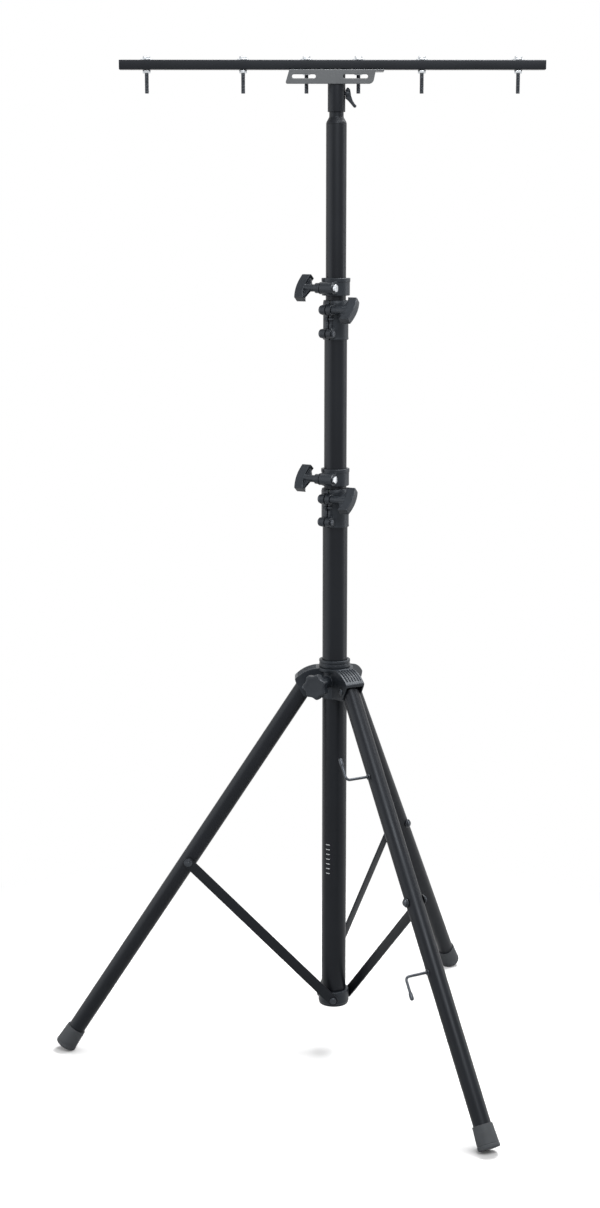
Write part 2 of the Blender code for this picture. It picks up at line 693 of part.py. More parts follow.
def t_handle(name, axis, sign, start, stem, step=0.0):
    """A T-handle moulded on its bolt: shank through the ears, a stem with an optional step, and the grip."""
    end = start + stem
    bolt = rod(name, BLACK_NYLON, axis, CLAMP_BOLT_R, -start + EDGE, start + EDGE, steps=12,
               rotation=(-sign * math.pi / 2, 0, 0))
    join(bolt, rod(name + "_stem", None, axis, STEM_R, start, end + GRIP_HOLLOW + EDGE, steps=16,
                   rotation=(-sign * math.pi / 2, 0, 0)))
    if step:
        join(bolt, rod(name + "_step", None, axis, COLLAR_STEP_R, start, start + step, steps=16,
                       rotation=(-sign * math.pi / 2, 0, 0)))
    join(bolt, plate(name + "_grip", None, axis, grip(sign), GRIP_WIDTH, edge=GRIP_EDGE,
                     location=(0, sign * end, 0), rotation=UPRIGHT_ACROSS))
    join(bolt, plate(name + "_web", None, axis, grip_web(sign), GRIP_WEB,
                     location=(0, sign * end, 0), rotation=UPRIGHT_ACROSS))


def sleeve(level, tube_r, inner_r, top):
    """Clamp sleeve on a tube's top: split barrel with a lip, liner, clamp ears, T-handle and fixing screw."""
    rim = top + FIT + LINER_RIM
    high = rim + FIT + SLEEVE_LIP
    low = high - SLEEVE_HEIGHT
    out = tube_r + SLEEVE_WALL
    axis_out = tube_r + EAR_REACH
    ear_side = frame_at(f"{level}_sleeve_ears", pole, (0, 0, low), EAR_AZIMUTH)
    barrel = turned(f"{level}_sleeve", BLACK_NYLON, pole, [
        (inner_r + RUNNING, high),
        (out - EDGE, high),
        (out, high - EDGE),
        (out, low),
        (tube_r + FIT, low),
        (tube_r + FIT, rim + FIT),
        (inner_r + RUNNING, rim + FIT),
    ], closed=True)
    turned(f"{level}_liner", WHITE_NYLON, pole, [
        (inner_r + RUNNING, rim),
        (tube_r - EDGE / 2, rim),
        (tube_r - EDGE / 2, top + FIT),
        (tube_r - WALL - FIT, top + FIT),
        (tube_r - WALL - FIT, top - LINER_DEPTH),
        (inner_r + RUNNING, top - LINER_DEPTH),
    ], closed=True)
    root = tube_r + FIT + EDGE
    for height, radius, width in (
        (SLEEVE_EAR_HEIGHT, SLEEVE_EAR_R, SLEEVE_EAR_WIDTH),
        (SCREW_EAR_HEIGHT, SCREW_EAR_R, SCREW_EAR_WIDTH),
    ):
        outline = [(root, height - radius), *arc((axis_out, height), radius, -90, 90, 8)]
        outline.append((root, height + radius))
        join(barrel, plate(f"{level}_ear", None, ear_side, outline, width, rotation=UPRIGHT))
    cut(barrel, box(f"{level}_slit", None, ear_side, (inner_r - EDGE, -EAR_SLIT / 2, -EDGE),
                    (axis_out + 2 * SLEEVE_EAR_R, EAR_SLIT / 2, SLEEVE_HEIGHT + EDGE)))
    bolt_holes = []
    for height in (SLEEVE_EAR_HEIGHT, SCREW_EAR_HEIGHT):
        bolt_holes.append(rod("hole", None, ear_side, CLAMP_BOLT_R + FIT, -SLEEVE_EAR_WIDTH, SLEEVE_EAR_WIDTH,
                              steps=12, location=(axis_out, 0, height), rotation=ALONG_Y))
    cut(barrel, gathered(f"{level}_sleeve_holes", bolt_holes))
    axis = frame_at(f"{level}_sleeve_handle_axis", ear_side, (axis_out, 0, SLEEVE_EAR_HEIGHT),
                    tilt=-SLEEVE_HANDLE_TILT)
    half = SLEEVE_EAR_WIDTH / 2 + FIT
    t_handle(f"{level}_sleeve_handle", axis, 1, half, SLEEVE_STEM)
    turned(f"{level}_sleeve_nut", BLACK_STEEL, axis, [
        (0, -half),
        (CAP_NUT_R, -half),
        (CAP_NUT_R, -half - CAP_NUT_THICK / 2),
        (CAP_NUT_R / 2, -half - CAP_NUT_THICK),
        (0, -half - CAP_NUT_THICK),
    ], steps=16, rotation=ALONG_Y)
    half = SCREW_EAR_WIDTH / 2 + FIT
    turned(f"{level}_sleeve_screw", BLACK_STEEL, ear_side, [
        (0, half + HEX_THICK),
        (PIN_HEAD_R, half + HEX_THICK),
        (PIN_HEAD_R, half),
        (CLAMP_BOLT_R, half),
        (CLAMP_BOLT_R, -half),
        (CAP_NUT_R, -half),
        (CAP_NUT_R, -half - CAP_NUT_THICK / 2),
        (CAP_NUT_R / 2, -half - CAP_NUT_THICK),
        (0, -half - CAP_NUT_THICK),
    ], steps=16, location=(axis_out, 0, SCREW_EAR_HEIGHT), rotation=ALONG_Y)
    return high


def safety_collar(level, tube_r, low, nut_sides):
    """Safety collar on an inner tube: split ring with a flange, one wide ear, T-handle and nut."""
    high = low + COLLAR_HEIGHT
    shelf = high - COLLAR_FLANGE
    bore = tube_r + RUNNING
    ring = turned(f"{level}_collar", BLACK_NYLON, pole, [
        (bore, high),
        (COLLAR_R + FLANGE_OUT - EDGE, high),
        (COLLAR_R + FLANGE_OUT, high - EDGE),
        (COLLAR_R + FLANGE_OUT, shelf),
        (COLLAR_R, shelf - FLANGE_OUT),
        (COLLAR_R, low),
        (bore, low),
    ], closed=True)
    ear_side = frame_at(f"{level}_collar_ear", pole, (0, 0, low), EAR_AZIMUTH)
    reach = (COLLAR_EAR_OUT, COLLAR_EAR_HEIGHT)
    root = bore + EDGE
    outline = [(root, reach[1] - COLLAR_EAR_R), *arc(reach, COLLAR_EAR_R, -90, 90, 8)]
    outline.append((root, reach[1] + COLLAR_EAR_R))
    join(ring, plate(f"{level}_collar_lug", None, ear_side, outline, COLLAR_EAR_WIDTH, rotation=UPRIGHT))
    cut(ring, rod(f"{level}_collar_bore", None, ear_side, bore, -COLLAR_HEIGHT, 2 * COLLAR_HEIGHT,
                  steps=TUBE_SIDES, rotation=(0, 0, -EAR_AZIMUTH)))
    cut(ring, box(f"{level}_collar_slit", None, ear_side, (0, COLLAR_SLIT_AT - COLLAR_SLIT / 2, -EDGE),
                  (COLLAR_EAR_OUT + 2 * COLLAR_EAR_R, COLLAR_SLIT_AT + COLLAR_SLIT / 2,
                   COLLAR_HEIGHT + EDGE)))
    cut(ring, rod(f"{level}_collar_hole", None, ear_side, CLAMP_BOLT_R + FIT, -COLLAR_EAR_WIDTH,
                  COLLAR_EAR_WIDTH, steps=12, location=(COLLAR_EAR_OUT, 0, COLLAR_EAR_HEIGHT),
                  rotation=ALONG_Y))
    axis = frame_at(f"{level}_collar_handle_axis", ear_side, (COLLAR_EAR_OUT, 0, COLLAR_EAR_HEIGHT),
                    tilt=-COLLAR_HANDLE_TILT)
    half = COLLAR_EAR_WIDTH / 2 + FIT
    t_handle(f"{level}_collar_handle", axis, -1, half, COLLAR_STEM, COLLAR_STEP)
    rod(f"{level}_collar_nut", ZINC, axis, HEX_ACROSS / math.sqrt(3), half, half + HEX_THICK, steps=nut_sides,
        rotation=ALONG_Y)


base_head = sleeve("lower", BASE_R, MIDDLE_R, BASE_TOP)
middle_head = sleeve("upper", MIDDLE_R, TOP_R, MIDDLE_TOP)
safety_collar("lower", MIDDLE_R, base_head + LOWER_GAP, 6)
safety_collar("upper", TOP_R, middle_head + UPPER_GAP, 16)

# Spigot: plug in the top tube, flared shoulder and 28 mm pin
shoulder = TOP_TOP + FIT
turned("spigot", BLACK_STEEL, pole, [
    (0, SOCKET_TOP - SPIGOT_TIP_GAP),
    (NECK_R - EDGE, SOCKET_TOP - SPIGOT_TIP_GAP),
    (NECK_R, SOCKET_TOP - SPIGOT_TIP_GAP - EDGE),
    (NECK_R, TOP_TOP + SHOULDER),
    (TOP_R - EDGE, TOP_TOP + SHOULDER / 4),
    (TOP_R, shoulder + EDGE),
    (TOP_R, shoulder),
    (TOP_R - WALL - FIT, shoulder),
    (TOP_R - WALL - FIT, shoulder - SPIGOT_PLUG),
    (0, shoulder - SPIGOT_PLUG),
])

# Adapter: socket over the spigot, clamping lever, and the slotted angle under the bar
socket = tube("adapter_socket", BLACK_PAINT, pole, SOCKET_R, NECK_R + FIT, SOCKET_BOTTOM, SOCKET_TOP)
cut(socket, rod("lever_hole", None, pole, LEVER_SCREW_R + FIT, 0, 2 * SOCKET_R, steps=12,
                location=(0, 0, LEVER_Z), rotation=ALONG_X))
lever_axis = frame_at("lever_axis", pole, (0, 0, LEVER_Z))
hub_in = SOCKET_R + FIT
hub_out = hub_in + LEVER_HUB
lever_outline = [
    (hub_in, LEVER_HUB * 0.7), (hub_in + LEVER_HUB * 0.35, LEVER_HUB * 1.2), (hub_out, LEVER_HUB * 0.6),
    (hub_out + EDGE, -LEVER_HUB * 0.5),
    *arc((LEVER_REACH - LEVER_TIP_R, LEVER_TIP_R / 2 - LEVER_DROP), LEVER_TIP_R, 40, -150, 4),
    (hub_in + LEVER_HUB * 0.45, -LEVER_HUB * 1.25), (hub_in, -LEVER_HUB * 0.9),
]
lever = plate("adapter_lever", BLACK_NYLON, lever_axis, lever_outline, LEVER_WIDTH, edge=EDGE,
              rotation=UPRIGHT)
join(lever, rod("lever_screw", None, lever_axis, LEVER_SCREW_R, NECK_R + 2 * FIT, hub_in + EDGE, steps=12,
                rotation=ALONG_X))

inset = PLATE_CORNER / 3
plate_outline = [
    (BRACKET_HALF, BRACKET_TOP),
    (-BRACKET_HALF, BRACKET_TOP),
    *arc((PLATE_LEFT + inset, PLATE_BOTTOM + inset), inset, 180, 270, 3),
    *arc((PLATE_RIGHT - 1.3 * PLATE_CORNER, PLATE_BOTTOM + PLATE_CORNER), PLATE_CORNER, -90, -15, 5),
    (PLATE_RIGHT, BRACKET_TOP - BRACKET_THICK),
]
bracket = plate("adapter_bracket", GREY_PAINT, pole, plate_outline, BRACKET_THICK,
                location=(0, PLATE_FRONT + BRACKET_THICK / 2, 0), rotation=UPRIGHT)
join(bracket, box("bracket_flange", None, pole, (-BRACKET_HALF, PLATE_FRONT, BRACKET_TOP - BRACKET_THICK),
                  (BRACKET_HALF, FLANGE_BACK, BRACKET_TOP)))
for low, high in SLOTS:
    cut(bracket, plate("bracket_slot", None, pole, stadium(low, high, SLOT_Z, SLOT_HEIGHT), 4 * BRACKET_THICK,
                       location=(0, PLATE_FRONT, 0), rotation=UPRIGHT))

# T-bar: box section along X with two end caps and six bolts
bar_axis = frame_at("bar_middle", pole, (BAR_CENTRE, 0, 0))
bar_half = BAR_LENGTH / 2 - CAP_THICK - FIT
deep = BAR_DEPTH / 2
bar = box("t_bar", BLACK_PAINT, bar_axis, (-bar_half, -deep, BAR_BOTTOM), (bar_half, deep, BAR_TOP))
cut(bar, box("bar_inside", None, bar_axis, (-BAR_LENGTH, BAR_WALL - deep, BAR_BOTTOM + BAR_WALL),
             (BAR_LENGTH, deep - BAR_WALL, BAR_TOP - BAR_WALL)))
bolt_holes = []
for offset in BOLT_OFFSETS:
    bolt_holes.append(rod("hole", None, bar_axis, BOLT_R + FIT, BRACKET_TOP - 2 * BRACKET_THICK,
                          BAR_TOP + WASHER, steps=12, location=(offset, 0, 0)))
bolt_cut = gathered("bolt_holes", bolt_holes)
cut(bar, bolt_cut)
cut(bracket, bolt_cut)
wall = BAR_WALL + FIT
for name, sign in (("t_bar_cap_left", -1), ("t_bar_cap_right", 1)):
    near, far = sorted((sign * (bar_half + FIT), sign * BAR_LENGTH / 2))
    cap = box(name, BLACK_NYLON, bar_axis, (near, -deep, BAR_BOTTOM), (far, deep, BAR_TOP))
    near, far = sorted((sign * (bar_half - CAP_PLUG), sign * (bar_half + FIT + EDGE)))
    join(cap, box(name + "_plug", None, bar_axis, (near, wall - deep, BAR_BOTTOM + wall),
                  (far, deep - wall, BAR_TOP - wall)))
for number, offset in enumerate(BOLT_OFFSETS, 1):
    through_bracket = abs(offset + BAR_CENTRE) < BRACKET_HALF
    grip_face = BRACKET_TOP - BRACKET_THICK if through_bracket else BAR_BOTTOM
    washer_low = BAR_TOP + FIT
    head_low = washer_low + WASHER
    nut_high = grip_face - FIT
    bolt = turned(f"bar_bolt_{number}", ZINC, bar_axis, [
        (0, head_low + EDGE),
        (WASHER_R / 2, head_low + EDGE),
        (WASHER_R / 2, head_low),
        (WASHER_R, head_low),
        (WASHER_R, washer_low),
        (BOLT_R, washer_low),
        (BOLT_R, BOLT_END),
        (0, BOLT_END),
    ], steps=16, location=(offset, 0, 0))
    join(bolt, plate("bolt_head", None, bar_axis, hexagon(HEX_ACROSS), BOLT_HEAD,
                     location=(offset, 0, head_low + BOLT_HEAD / 2)))
    join(bolt, plate("bolt_nut", None, bar_axis, hexagon(HEX_ACROSS), NUT_THICK,
                     location=(offset, 0, nut_high - NUT_THICK / 2)))

bpy.context.view_layer.update()
for obj in parts.objects:
    if obj.type == "MESH":
        obj.data.shade_smooth()
        obj.data.set_sharp_from_angle(angle=math.radians(35))
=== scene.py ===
import math

import bmesh
import bpy
from mathutils import Matrix, Vector


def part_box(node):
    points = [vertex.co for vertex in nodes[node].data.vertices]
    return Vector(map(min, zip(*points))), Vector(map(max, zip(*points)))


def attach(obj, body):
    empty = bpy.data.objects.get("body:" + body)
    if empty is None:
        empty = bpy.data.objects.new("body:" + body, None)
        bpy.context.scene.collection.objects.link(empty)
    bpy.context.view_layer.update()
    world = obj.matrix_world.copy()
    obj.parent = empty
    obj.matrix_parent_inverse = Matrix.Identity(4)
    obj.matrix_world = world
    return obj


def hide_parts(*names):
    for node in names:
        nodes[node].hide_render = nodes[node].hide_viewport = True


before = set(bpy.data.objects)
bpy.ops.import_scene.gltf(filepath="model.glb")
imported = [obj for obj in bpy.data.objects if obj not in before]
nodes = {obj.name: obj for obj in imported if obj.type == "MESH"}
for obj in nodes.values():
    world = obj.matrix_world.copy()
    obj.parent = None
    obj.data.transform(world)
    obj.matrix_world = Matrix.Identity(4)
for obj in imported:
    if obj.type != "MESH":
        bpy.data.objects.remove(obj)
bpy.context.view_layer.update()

home = bpy.context.scene.collection

# BASE TUBE
# Lowest and widest tube of the pole: 50 mm welded steel tube, 1.2 mm thick, cut square, deburred
# and powder coated black. It stands in the base collar and carries the lower clamp on its top.

ROUND = 96
BASE_R = 0.025
WALL = 0.0012
DEBURR = 0.0003

low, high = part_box("base_tube")
POLE = Matrix.Translation(((low.x + high.x) / 2, 0, 0))


def move(x, y, z):
    """A move along the axes, as a matrix."""
    return Matrix.Translation((x, y, z))


def spin(angle, axis):
    """A turn about X, Y or Z, as a matrix."""
    return Matrix.Rotation(angle, 4, axis)


def linear(code):
    """An sRGB hex colour as linear RGBA."""
    values = []
    for i in (0, 2, 4):
        share = int(code[i:i + 2], 16) / 255
        values.append(share / 12.92 if share <= 0.04045 else ((share + 0.055) / 1.055) ** 2.4)
    return (*values, 1.0)


def feed(tree, node, inputs):
    """Each input of a node as a number, a colour, a socket, or another node's first output."""
    for key, value in inputs.items():
        if isinstance(value, bpy.types.Node):
            value = value.outputs[0]
        if isinstance(value, bpy.types.NodeSocket):
            tree.links.new(value, node.inputs[key])
        else:
            node.inputs[key].default_value = value


def add_node(tree, kind, inputs=None, **settings):
    """A node with its settings and with what feeds it."""
    node = tree.nodes.new(kind)
    for key, value in settings.items():
        setattr(node, key, value)
    feed(tree, node, inputs or {})
    return node


def new_finish(name):
    """A new material, its node tree, its shader and the object coordinates in metres."""
    material = bpy.data.materials.new(name)
    material.use_nodes = True
    tree = material.node_tree
    place = add_node(tree, "ShaderNodeTexCoord").outputs["Object"]
    return material, tree, tree.nodes["Principled BSDF"], place


def mottled(name, dark, light, scale, detail, surface, gloss=None, grain=None):
    """A finish in two blended colours. Gloss is its lowest and highest roughness, grain its bump's noise
    scale, noise detail, strength and height, and surface what else the shader is set to."""
    material, tree, shader, place = new_finish(name)
    blend = add_node(tree, "ShaderNodeTexNoise", {"Vector": place, "Scale": scale, "Detail": detail})
    tone = add_node(tree, "ShaderNodeMix", {"Factor": blend}, data_type="RGBA")
    feed(tree, tone, {"A": linear(dark), "B": linear(light)})
    feed(tree, shader, {"Base Color": tone.outputs["Result"], **surface})
    if gloss:
        low, high = gloss
        feed(tree, shader, {"Roughness": add_node(tree, "ShaderNodeMapRange", {
            "Value": blend, "From Min": 0.3, "From Max": 0.7, "To Min": low, "To Max": high})})
    if grain:
        scale, detail, strength, height = grain
        noise = add_node(tree, "ShaderNodeTexNoise", {"Vector": place, "Scale": scale, "Detail": detail})
        feed(tree, shader, {"Normal": add_node(tree, "ShaderNodeBump", {
            "Height": noise, "Strength": strength, "Distance": height})})
    return material


def filleted(corners, closed):
    """The (radius, height, fillet) corners of a profile as points, each corner rounded by its fillet."""
    points = []
    count = len(corners)
    for i, (x, y, fillet) in enumerate(corners):
        if not fillet or (not closed and i in (0, count - 1)):
            points.append((x, y))
            continue
        here = Vector((x, y))
        before = Vector(corners[i - 1][:2]) - here
        after = Vector(corners[(i + 1) % count][:2]) - here
        reach = min(fillet, 0.48 * before.length, 0.48 * after.length)
        start, end = here + before.normalized() * reach, here + after.normalized() * reach
        for step in range(6):
            t = step / 5
            points.append(tuple(start * (1 - t) ** 2 + here * 2 * t * (1 - t) + end * t * t))
    return points


def finished(bm, place, bevel=0.0, steps=3):
    """The mesh of a bmesh, moved to its place, with its flat rims rounded first where asked."""
    bmesh.ops.recalc_face_normals(bm, faces=bm.faces)
    if bevel:
        rims = [e for e in bm.edges if abs(e.verts[0].co.z - e.verts[1].co.z) < 1e-9]
        bmesh.ops.bevel(bm, geom=rims, offset=bevel, segments=steps, profile=0.5, affect="EDGES",
                        clamp_overlap=True)
    mesh = bpy.data.meshes.new("shape")
    bm.to_mesh(mesh)
    bm.free()
    mesh.transform(place)
    return mesh


def lathe(corners, place, closed=False, around=ROUND):
    """A turned mesh. Its corners run down the outer side, from the top, as (radius, height, fillet)."""
    bm = bmesh.new()
    rings = []
    for radius, height in filleted(corners, closed):
        if radius < 1e-7:
            rings.append([bm.verts.new((0, 0, height))] * around)
            continue
        turn = [math.tau * i / around for i in range(around)]
        rings.append([bm.verts.new((radius * math.cos(a), radius * math.sin(a), height)) for a in turn])
    pairs = list(zip(rings, rings[1:]))
    if closed:
        pairs.append((rings[-1], rings[0]))
    for upper, lower in pairs:
        for i in range(around):
            j = (i + 1) % around
            corner = dict.fromkeys((upper[i], lower[i], lower[j], upper[j]))
            if len(corner) > 2:
                bm.faces.new(list(corner))
    return finished(bm, place)


def rod(radius, top, bottom, place, around=ROUND):
    """A plain cylinder along Z."""
    return lathe([(0, top, 0), (radius, top, 0), (radius, bottom, 0), (0, bottom, 0)], place, around=around)


def disc(radius, top, bottom, place, top_fillet, low_fillet, low_radius=None, around=64):
    """A low cylinder or cone along Z with rounded rims."""
    return lathe([(0, top, 0), (radius, top, top_fillet), (low_radius or radius, bottom, low_fillet),
                  (0, bottom, 0)], place, around=around)


def placed(name, data):
    """An object in the scene."""
    obj = bpy.data.objects.new(name, data)
    home.objects.link(obj)
    return obj


def result_of(obj):
    """The mesh that an object's modifiers or curve make."""
    bpy.context.view_layer.update()
    return bpy.data.meshes.new_from_object(obj.evaluated_get(bpy.context.evaluated_depsgraph_get()))


def fit_piece(name, mesh, material, body, *replaced, sharp=30):
    """A finished piece on its CAD body, with the CAD nodes that it stands for."""
    obj = placed(name, mesh)
    if not any(mesh.materials):
        mesh.materials.clear()
        mesh.materials.append(material)
    mesh.shade_smooth()
    mesh.set_sharp_from_angle(angle=math.radians(sharp))
    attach(obj, body)
    if replaced:
        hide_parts(*replaced)
    return obj


# Polyester powder coat on steel: satin black, a fine orange peel about 1 mm across that breaks up the
# highlights, and slow drifts in gloss. The peel is drawn at 1.6 mm so that it shows in the render.
BLUE_SHEEN = (0.86, 0.92, 1.0, 1.0)
powder_coat = mottled("satin_black_powder_coat", "0b0c0f", "131519", 9.0, 3.0, {
    "IOR": 1.5, "Specular Tint": BLUE_SHEEN, "Specular IOR Level": 0.22},
    gloss=(0.34, 0.44), grain=(620.0, 2.0, 0.05, 0.0002))


def round_tube(radius, bottom, top, place):
    """A round tube with deburred ends."""
    bore = radius - WALL
    corners = ((radius, top), (radius, bottom), (bore, bottom), (bore, top))
    return lathe([(*corner, DEBURR) for corner in corners], place, closed=True)


fit_piece("base_tube_coated", round_tube(BASE_R, low.z, high.z, POLE), powder_coat, "base", "base_tube")

# INDEX TICKS
# Seven equal ticks pad printed in pale grey ink on the base tube, which the lower hub edge is read
# against when the legs are set. The ink is drawn 0.05 mm thick.

TICK_COUNT = 7
TICK_PITCH = 0.0102
TICK_LOW = 0.394
TICK_AZIMUTH = math.radians(238.0)


def grown(tree, mesh, sizes):
    """The plain mesh that a geometry tree makes from a mesh, with its named inputs set."""
    obj = placed("growing", mesh)
    step = obj.modifiers.new("grow", "NODES")
    step.node_group = tree
    for item in tree.interface.items_tree:
        if item.item_type == "SOCKET" and item.name in sizes:
            step[item.identifier] = sizes[item.name]
    result = result_of(obj)
    obj.modifiers.remove(step)
    bpy.data.objects.remove(obj)
    return result


def new_geometry(name, sockets):
    """A geometry tree with the named sockets besides its geometry, and the outputs of its input node."""
    tree = bpy.data.node_groups.new(name, "GeometryNodeTree")
    tree.interface.new_socket("Geometry", in_out="INPUT", socket_type="NodeSocketGeometry")
    for label, kind in sockets.items():
        tree.interface.new_socket(label, in_out="INPUT", socket_type="NodeSocket" + kind)
    tree.interface.new_socket("Geometry", in_out="OUTPUT", socket_type="NodeSocketGeometry")
    return tree, tree.nodes.new("NodeGroupInput").outputs


def end_geometry(tree, geometry, material):
    """The last nodes of a geometry tree: real geometry in the piece's finish."""
    real = add_node(tree, "GeometryNodeRealizeInstances", {"Geometry": geometry})
    finish = add_node(tree, "GeometryNodeSetMaterial", {"Geometry": real, "Material": material})
    add_node(tree, "NodeGroupOutput", {"Geometry": finish})


# Pad printing ink: matt pale grey, a little uneven in cover.
tick_ink = mottled("pale_grey_pad_ink", "9a9da0", "c9cccd", 700.0, 2.0, {"Roughness": 0.6})

tree, given = new_geometry("index_ticks", {
    "Count": "Int", "Pitch": "Float", "Tube radius": "Float",
    "Width": "Float", "Height": "Float", "Ink": "Float"})
step_up = add_node(tree, "ShaderNodeCombineXYZ", {"Z": given["Pitch"]})
line = add_node(tree, "GeometryNodeMeshLine", {"Count": given["Count"], "Offset": step_up})
size = add_node(tree, "ShaderNodeCombineXYZ", {
    "X": given["Ink"], "Y": given["Width"], "Z": given["Height"]})
mark = add_node(tree, "GeometryNodeMeshCube", {"Size": size, "Vertices Y": 14})
marks = add_node(tree, "GeometryNodeInstanceOnPoints", {"Points": line, "Instance": mark})
flat = add_node(tree, "GeometryNodeRealizeInstances", {"Geometry": marks})
spot = add_node(tree, "GeometryNodeInputPosition")
parts_of = add_node(tree, "ShaderNodeSeparateXYZ", {"Vector": spot}).outputs
reach = add_node(tree, "ShaderNodeMath", {0: parts_of["X"], 1: given["Tube radius"]}, operation="ADD")
angle = add_node(tree, "ShaderNodeMath", {0: parts_of["Y"], 1: given["Tube radius"]}, operation="DIVIDE")
bent = add_node(tree, "ShaderNodeCombineXYZ", {"Z": parts_of["Z"]})
for label, wave in (("X", "COSINE"), ("Y", "SINE")):
    share = add_node(tree, "ShaderNodeMath", {0: angle}, operation=wave)
    feed(tree, bent, {label: add_node(tree, "ShaderNodeMath", {0: reach, 1: share}, operation="MULTIPLY")})
wrapped = add_node(tree, "GeometryNodeSetPosition", {"Geometry": flat, "Position": bent})
end_geometry(tree, wrapped, tick_ink)

ticks = grown(tree, bpy.data.meshes.new("ticks"), {
    "Count": TICK_COUNT, "Pitch": TICK_PITCH, "Tube radius": BASE_R, "Width": 0.009, "Height": 0.0018,
    "Ink": 0.0001})
ticks.transform(POLE @ spin(TICK_AZIMUTH, "Z") @ move(0, 0, TICK_LOW))
fit_piece("index_ticks", ticks, tick_ink, "base")

# BASE COLLAR AND ITS SCREWS
# Moulded ring of glass filled nylon that closes the foot of the base tube. Three pan head screws hold
# the lower ends of the braces on it, and a small screw at the front holds it on the tube.

FIT = 0.0003
COLLAR_R = 0.0315
COLLAR_LOW, COLLAR_HIGH = 0.105, 0.137
PIN_X, PIN_Z = 0.002, 0.121
BRACE_THICK = 0.0035
HEAD_R = 0.0065
LEG_AZIMUTHS = {1: math.radians(180.0), 2: math.radians(-60.0), 3: math.radians(60.0)}
ALONG_X = spin(math.pi / 2, "Y")
ALONG_Y = spin(-math.pi / 2, "X")
UPRIGHT = spin(math.pi / 2, "X")


def side_of(azimuth):
    """The pole's frame, turned so that X points along an azimuth."""
    return POLE @ spin(azimuth, "Z")


# Glass filled nylon from a spark eroded mould: dark grey, matt, with a fine even grain. The grain is
# 0.2 mm on the real moulding and is drawn at 0.7 mm so that it shows.
nylon = mottled("moulded_glass_filled_nylon", "13161a", "1e2227", 22.0, 4.0, {
    "IOR": 1.53, "Specular Tint": BLUE_SHEEN, "Specular IOR Level": 0.3},
    gloss=(0.34, 0.46), grain=(1400.0, 1.0, 0.25, 0.0002))

# Black oxide on machine screws and turned parts: dark metal with an oily sheen, faintly mottled in tone and
# gloss.
black_oxide = mottled("black_oxide_steel", "2c2f33", "4a4e54", 160.0, 3.0, {"Metallic": 0.8},
                      gloss=(0.26, 0.42))

collar = lathe([
    (0, 0.1077, 0), (0.0253, 0.1077, 0), (0.0253, COLLAR_HIGH, 0.0005), (COLLAR_R, COLLAR_HIGH, 0.0016),
    (COLLAR_R, 0.1115, 0.0008), (COLLAR_R - 0.0012, 0.1105, 0.0006), (COLLAR_R - 0.0012, COLLAR_LOW, 0.003),
    (0.012, COLLAR_LOW, 0.001), (0.011, COLLAR_LOW + 0.001, 0), (0, COLLAR_LOW + 0.001, 0),
], POLE)
fit_piece("base_collar_moulding", collar, nylon, "base", "base_collar")


def pan_screw(head_from, shank_to, place, head_r=HEAD_R, head_high=0.003, shank_r=0.0035):
    """A pan head screw along Z with a hexagon socket in its head."""
    top = head_from + head_high
    return lathe([
        (0, top - 0.0016, 0), (0.0019, top - 0.0016, 0), (0.0021, top, 0.0002), (head_r, top, 0.0022),
        (head_r, head_from, 0.0003), (shank_r, head_from, 0), (shank_r, shank_to, 0.0005), (0, shank_to, 0),
    ], place, around=48)


screw_face = COLLAR_R + FIT + BRACE_THICK + FIT
for number, azimuth in LEG_AZIMUTHS.items():
    spot = side_of(azimuth) @ move(PIN_X, 0, PIN_Z) @ ALONG_Y
    fit_piece(f"collar_screw_{number}_head", pan_screw(screw_face, 0.0256, spot), black_oxide, "base",
              f"collar_screw_{number}")
tube_screw = side_of(math.radians(262)) @ move(0, 0, 0.1335) @ ALONG_X
fit_piece("collar_tube_screw", pan_screw(COLLAR_R - 0.0003, 0.0262, tube_screw, 0.0022, 0.0011, 0.0012),
          black_oxide, "base")

# HUB
# One moulding of glass filled nylon that slides on the base tube and carries the three legs. Each leg
# turns between two cheeks under a ribbed hood; a boss at the back left takes the star knob's screw.

HUB_R = 0.031
HUB_WEB_R, HUB_WEB_LOW = 0.0375, 0.8205
HUB_LOW, HUB_HIGH = 0.765, 0.8276
PIVOT_R, PIVOT_Z = 0.06, 0.788
LEG_R = 0.0175
HOOD_WALL = 0.0032
HOOD_ROOT = 0.012
HOOD_CENTRE, HOOD_R = 0.03, 0.0679
HOOD_FRONT, HOOD_LIP = 0.081, 0.799
TOE_OUT, TOE_R = 0.059, 0.0065
CHEEK_IN = LEG_R + 0.0006
CHEEK_OUT = CHEEK_IN + HOOD_WALL
RIB_DEPTH = 0.002
RIB_PITCH = 0.0064
RIB_COUNT = 5
RIB_START, RIB_END = 0.0365, 0.0765
HUB_BORE = 0.0273
KNOB_AZIMUTH = math.radians(240.0)
KNOB_Z = 0.8
KNOB_FACE, KNOB_THICK = 0.086, 0.017


def arc(centre, radius, start, end, steps):
    """Points on an arc from one angle to another, in degrees, both ends included."""
    points = []
    for i in range(steps + 1):
        angle = math.radians(start + (end - start) * i / steps)
        points.append((centre[0] + radius * math.cos(angle), centre[1] + radius * math.sin(angle)))
    return points


def slab(outline, low, high, place, edge=0.0, steps=3):
    """A flat outline in XY, thickened from one height to another, with rounded rims where asked."""
    bm = bmesh.new()
    lower = [bm.verts.new((x, y, low)) for x, y in outline]
    upper = [bm.verts.new((x, y, high)) for x, y in outline]
    bm.faces.new(lower[::-1])
    bm.faces.new(upper)
    for i, corner in enumerate(lower):
        j = (i + 1) % len(lower)
        bm.faces.new((corner, lower[j], upper[j], upper[i]))
    return finished(bm, place, edge, steps)


def upright(outline, half, place, **rims):
    """A slab whose outline stands in XZ, as far to each side of its middle."""
    return slab(outline, -half, half, place @ UPRIGHT, **rims)


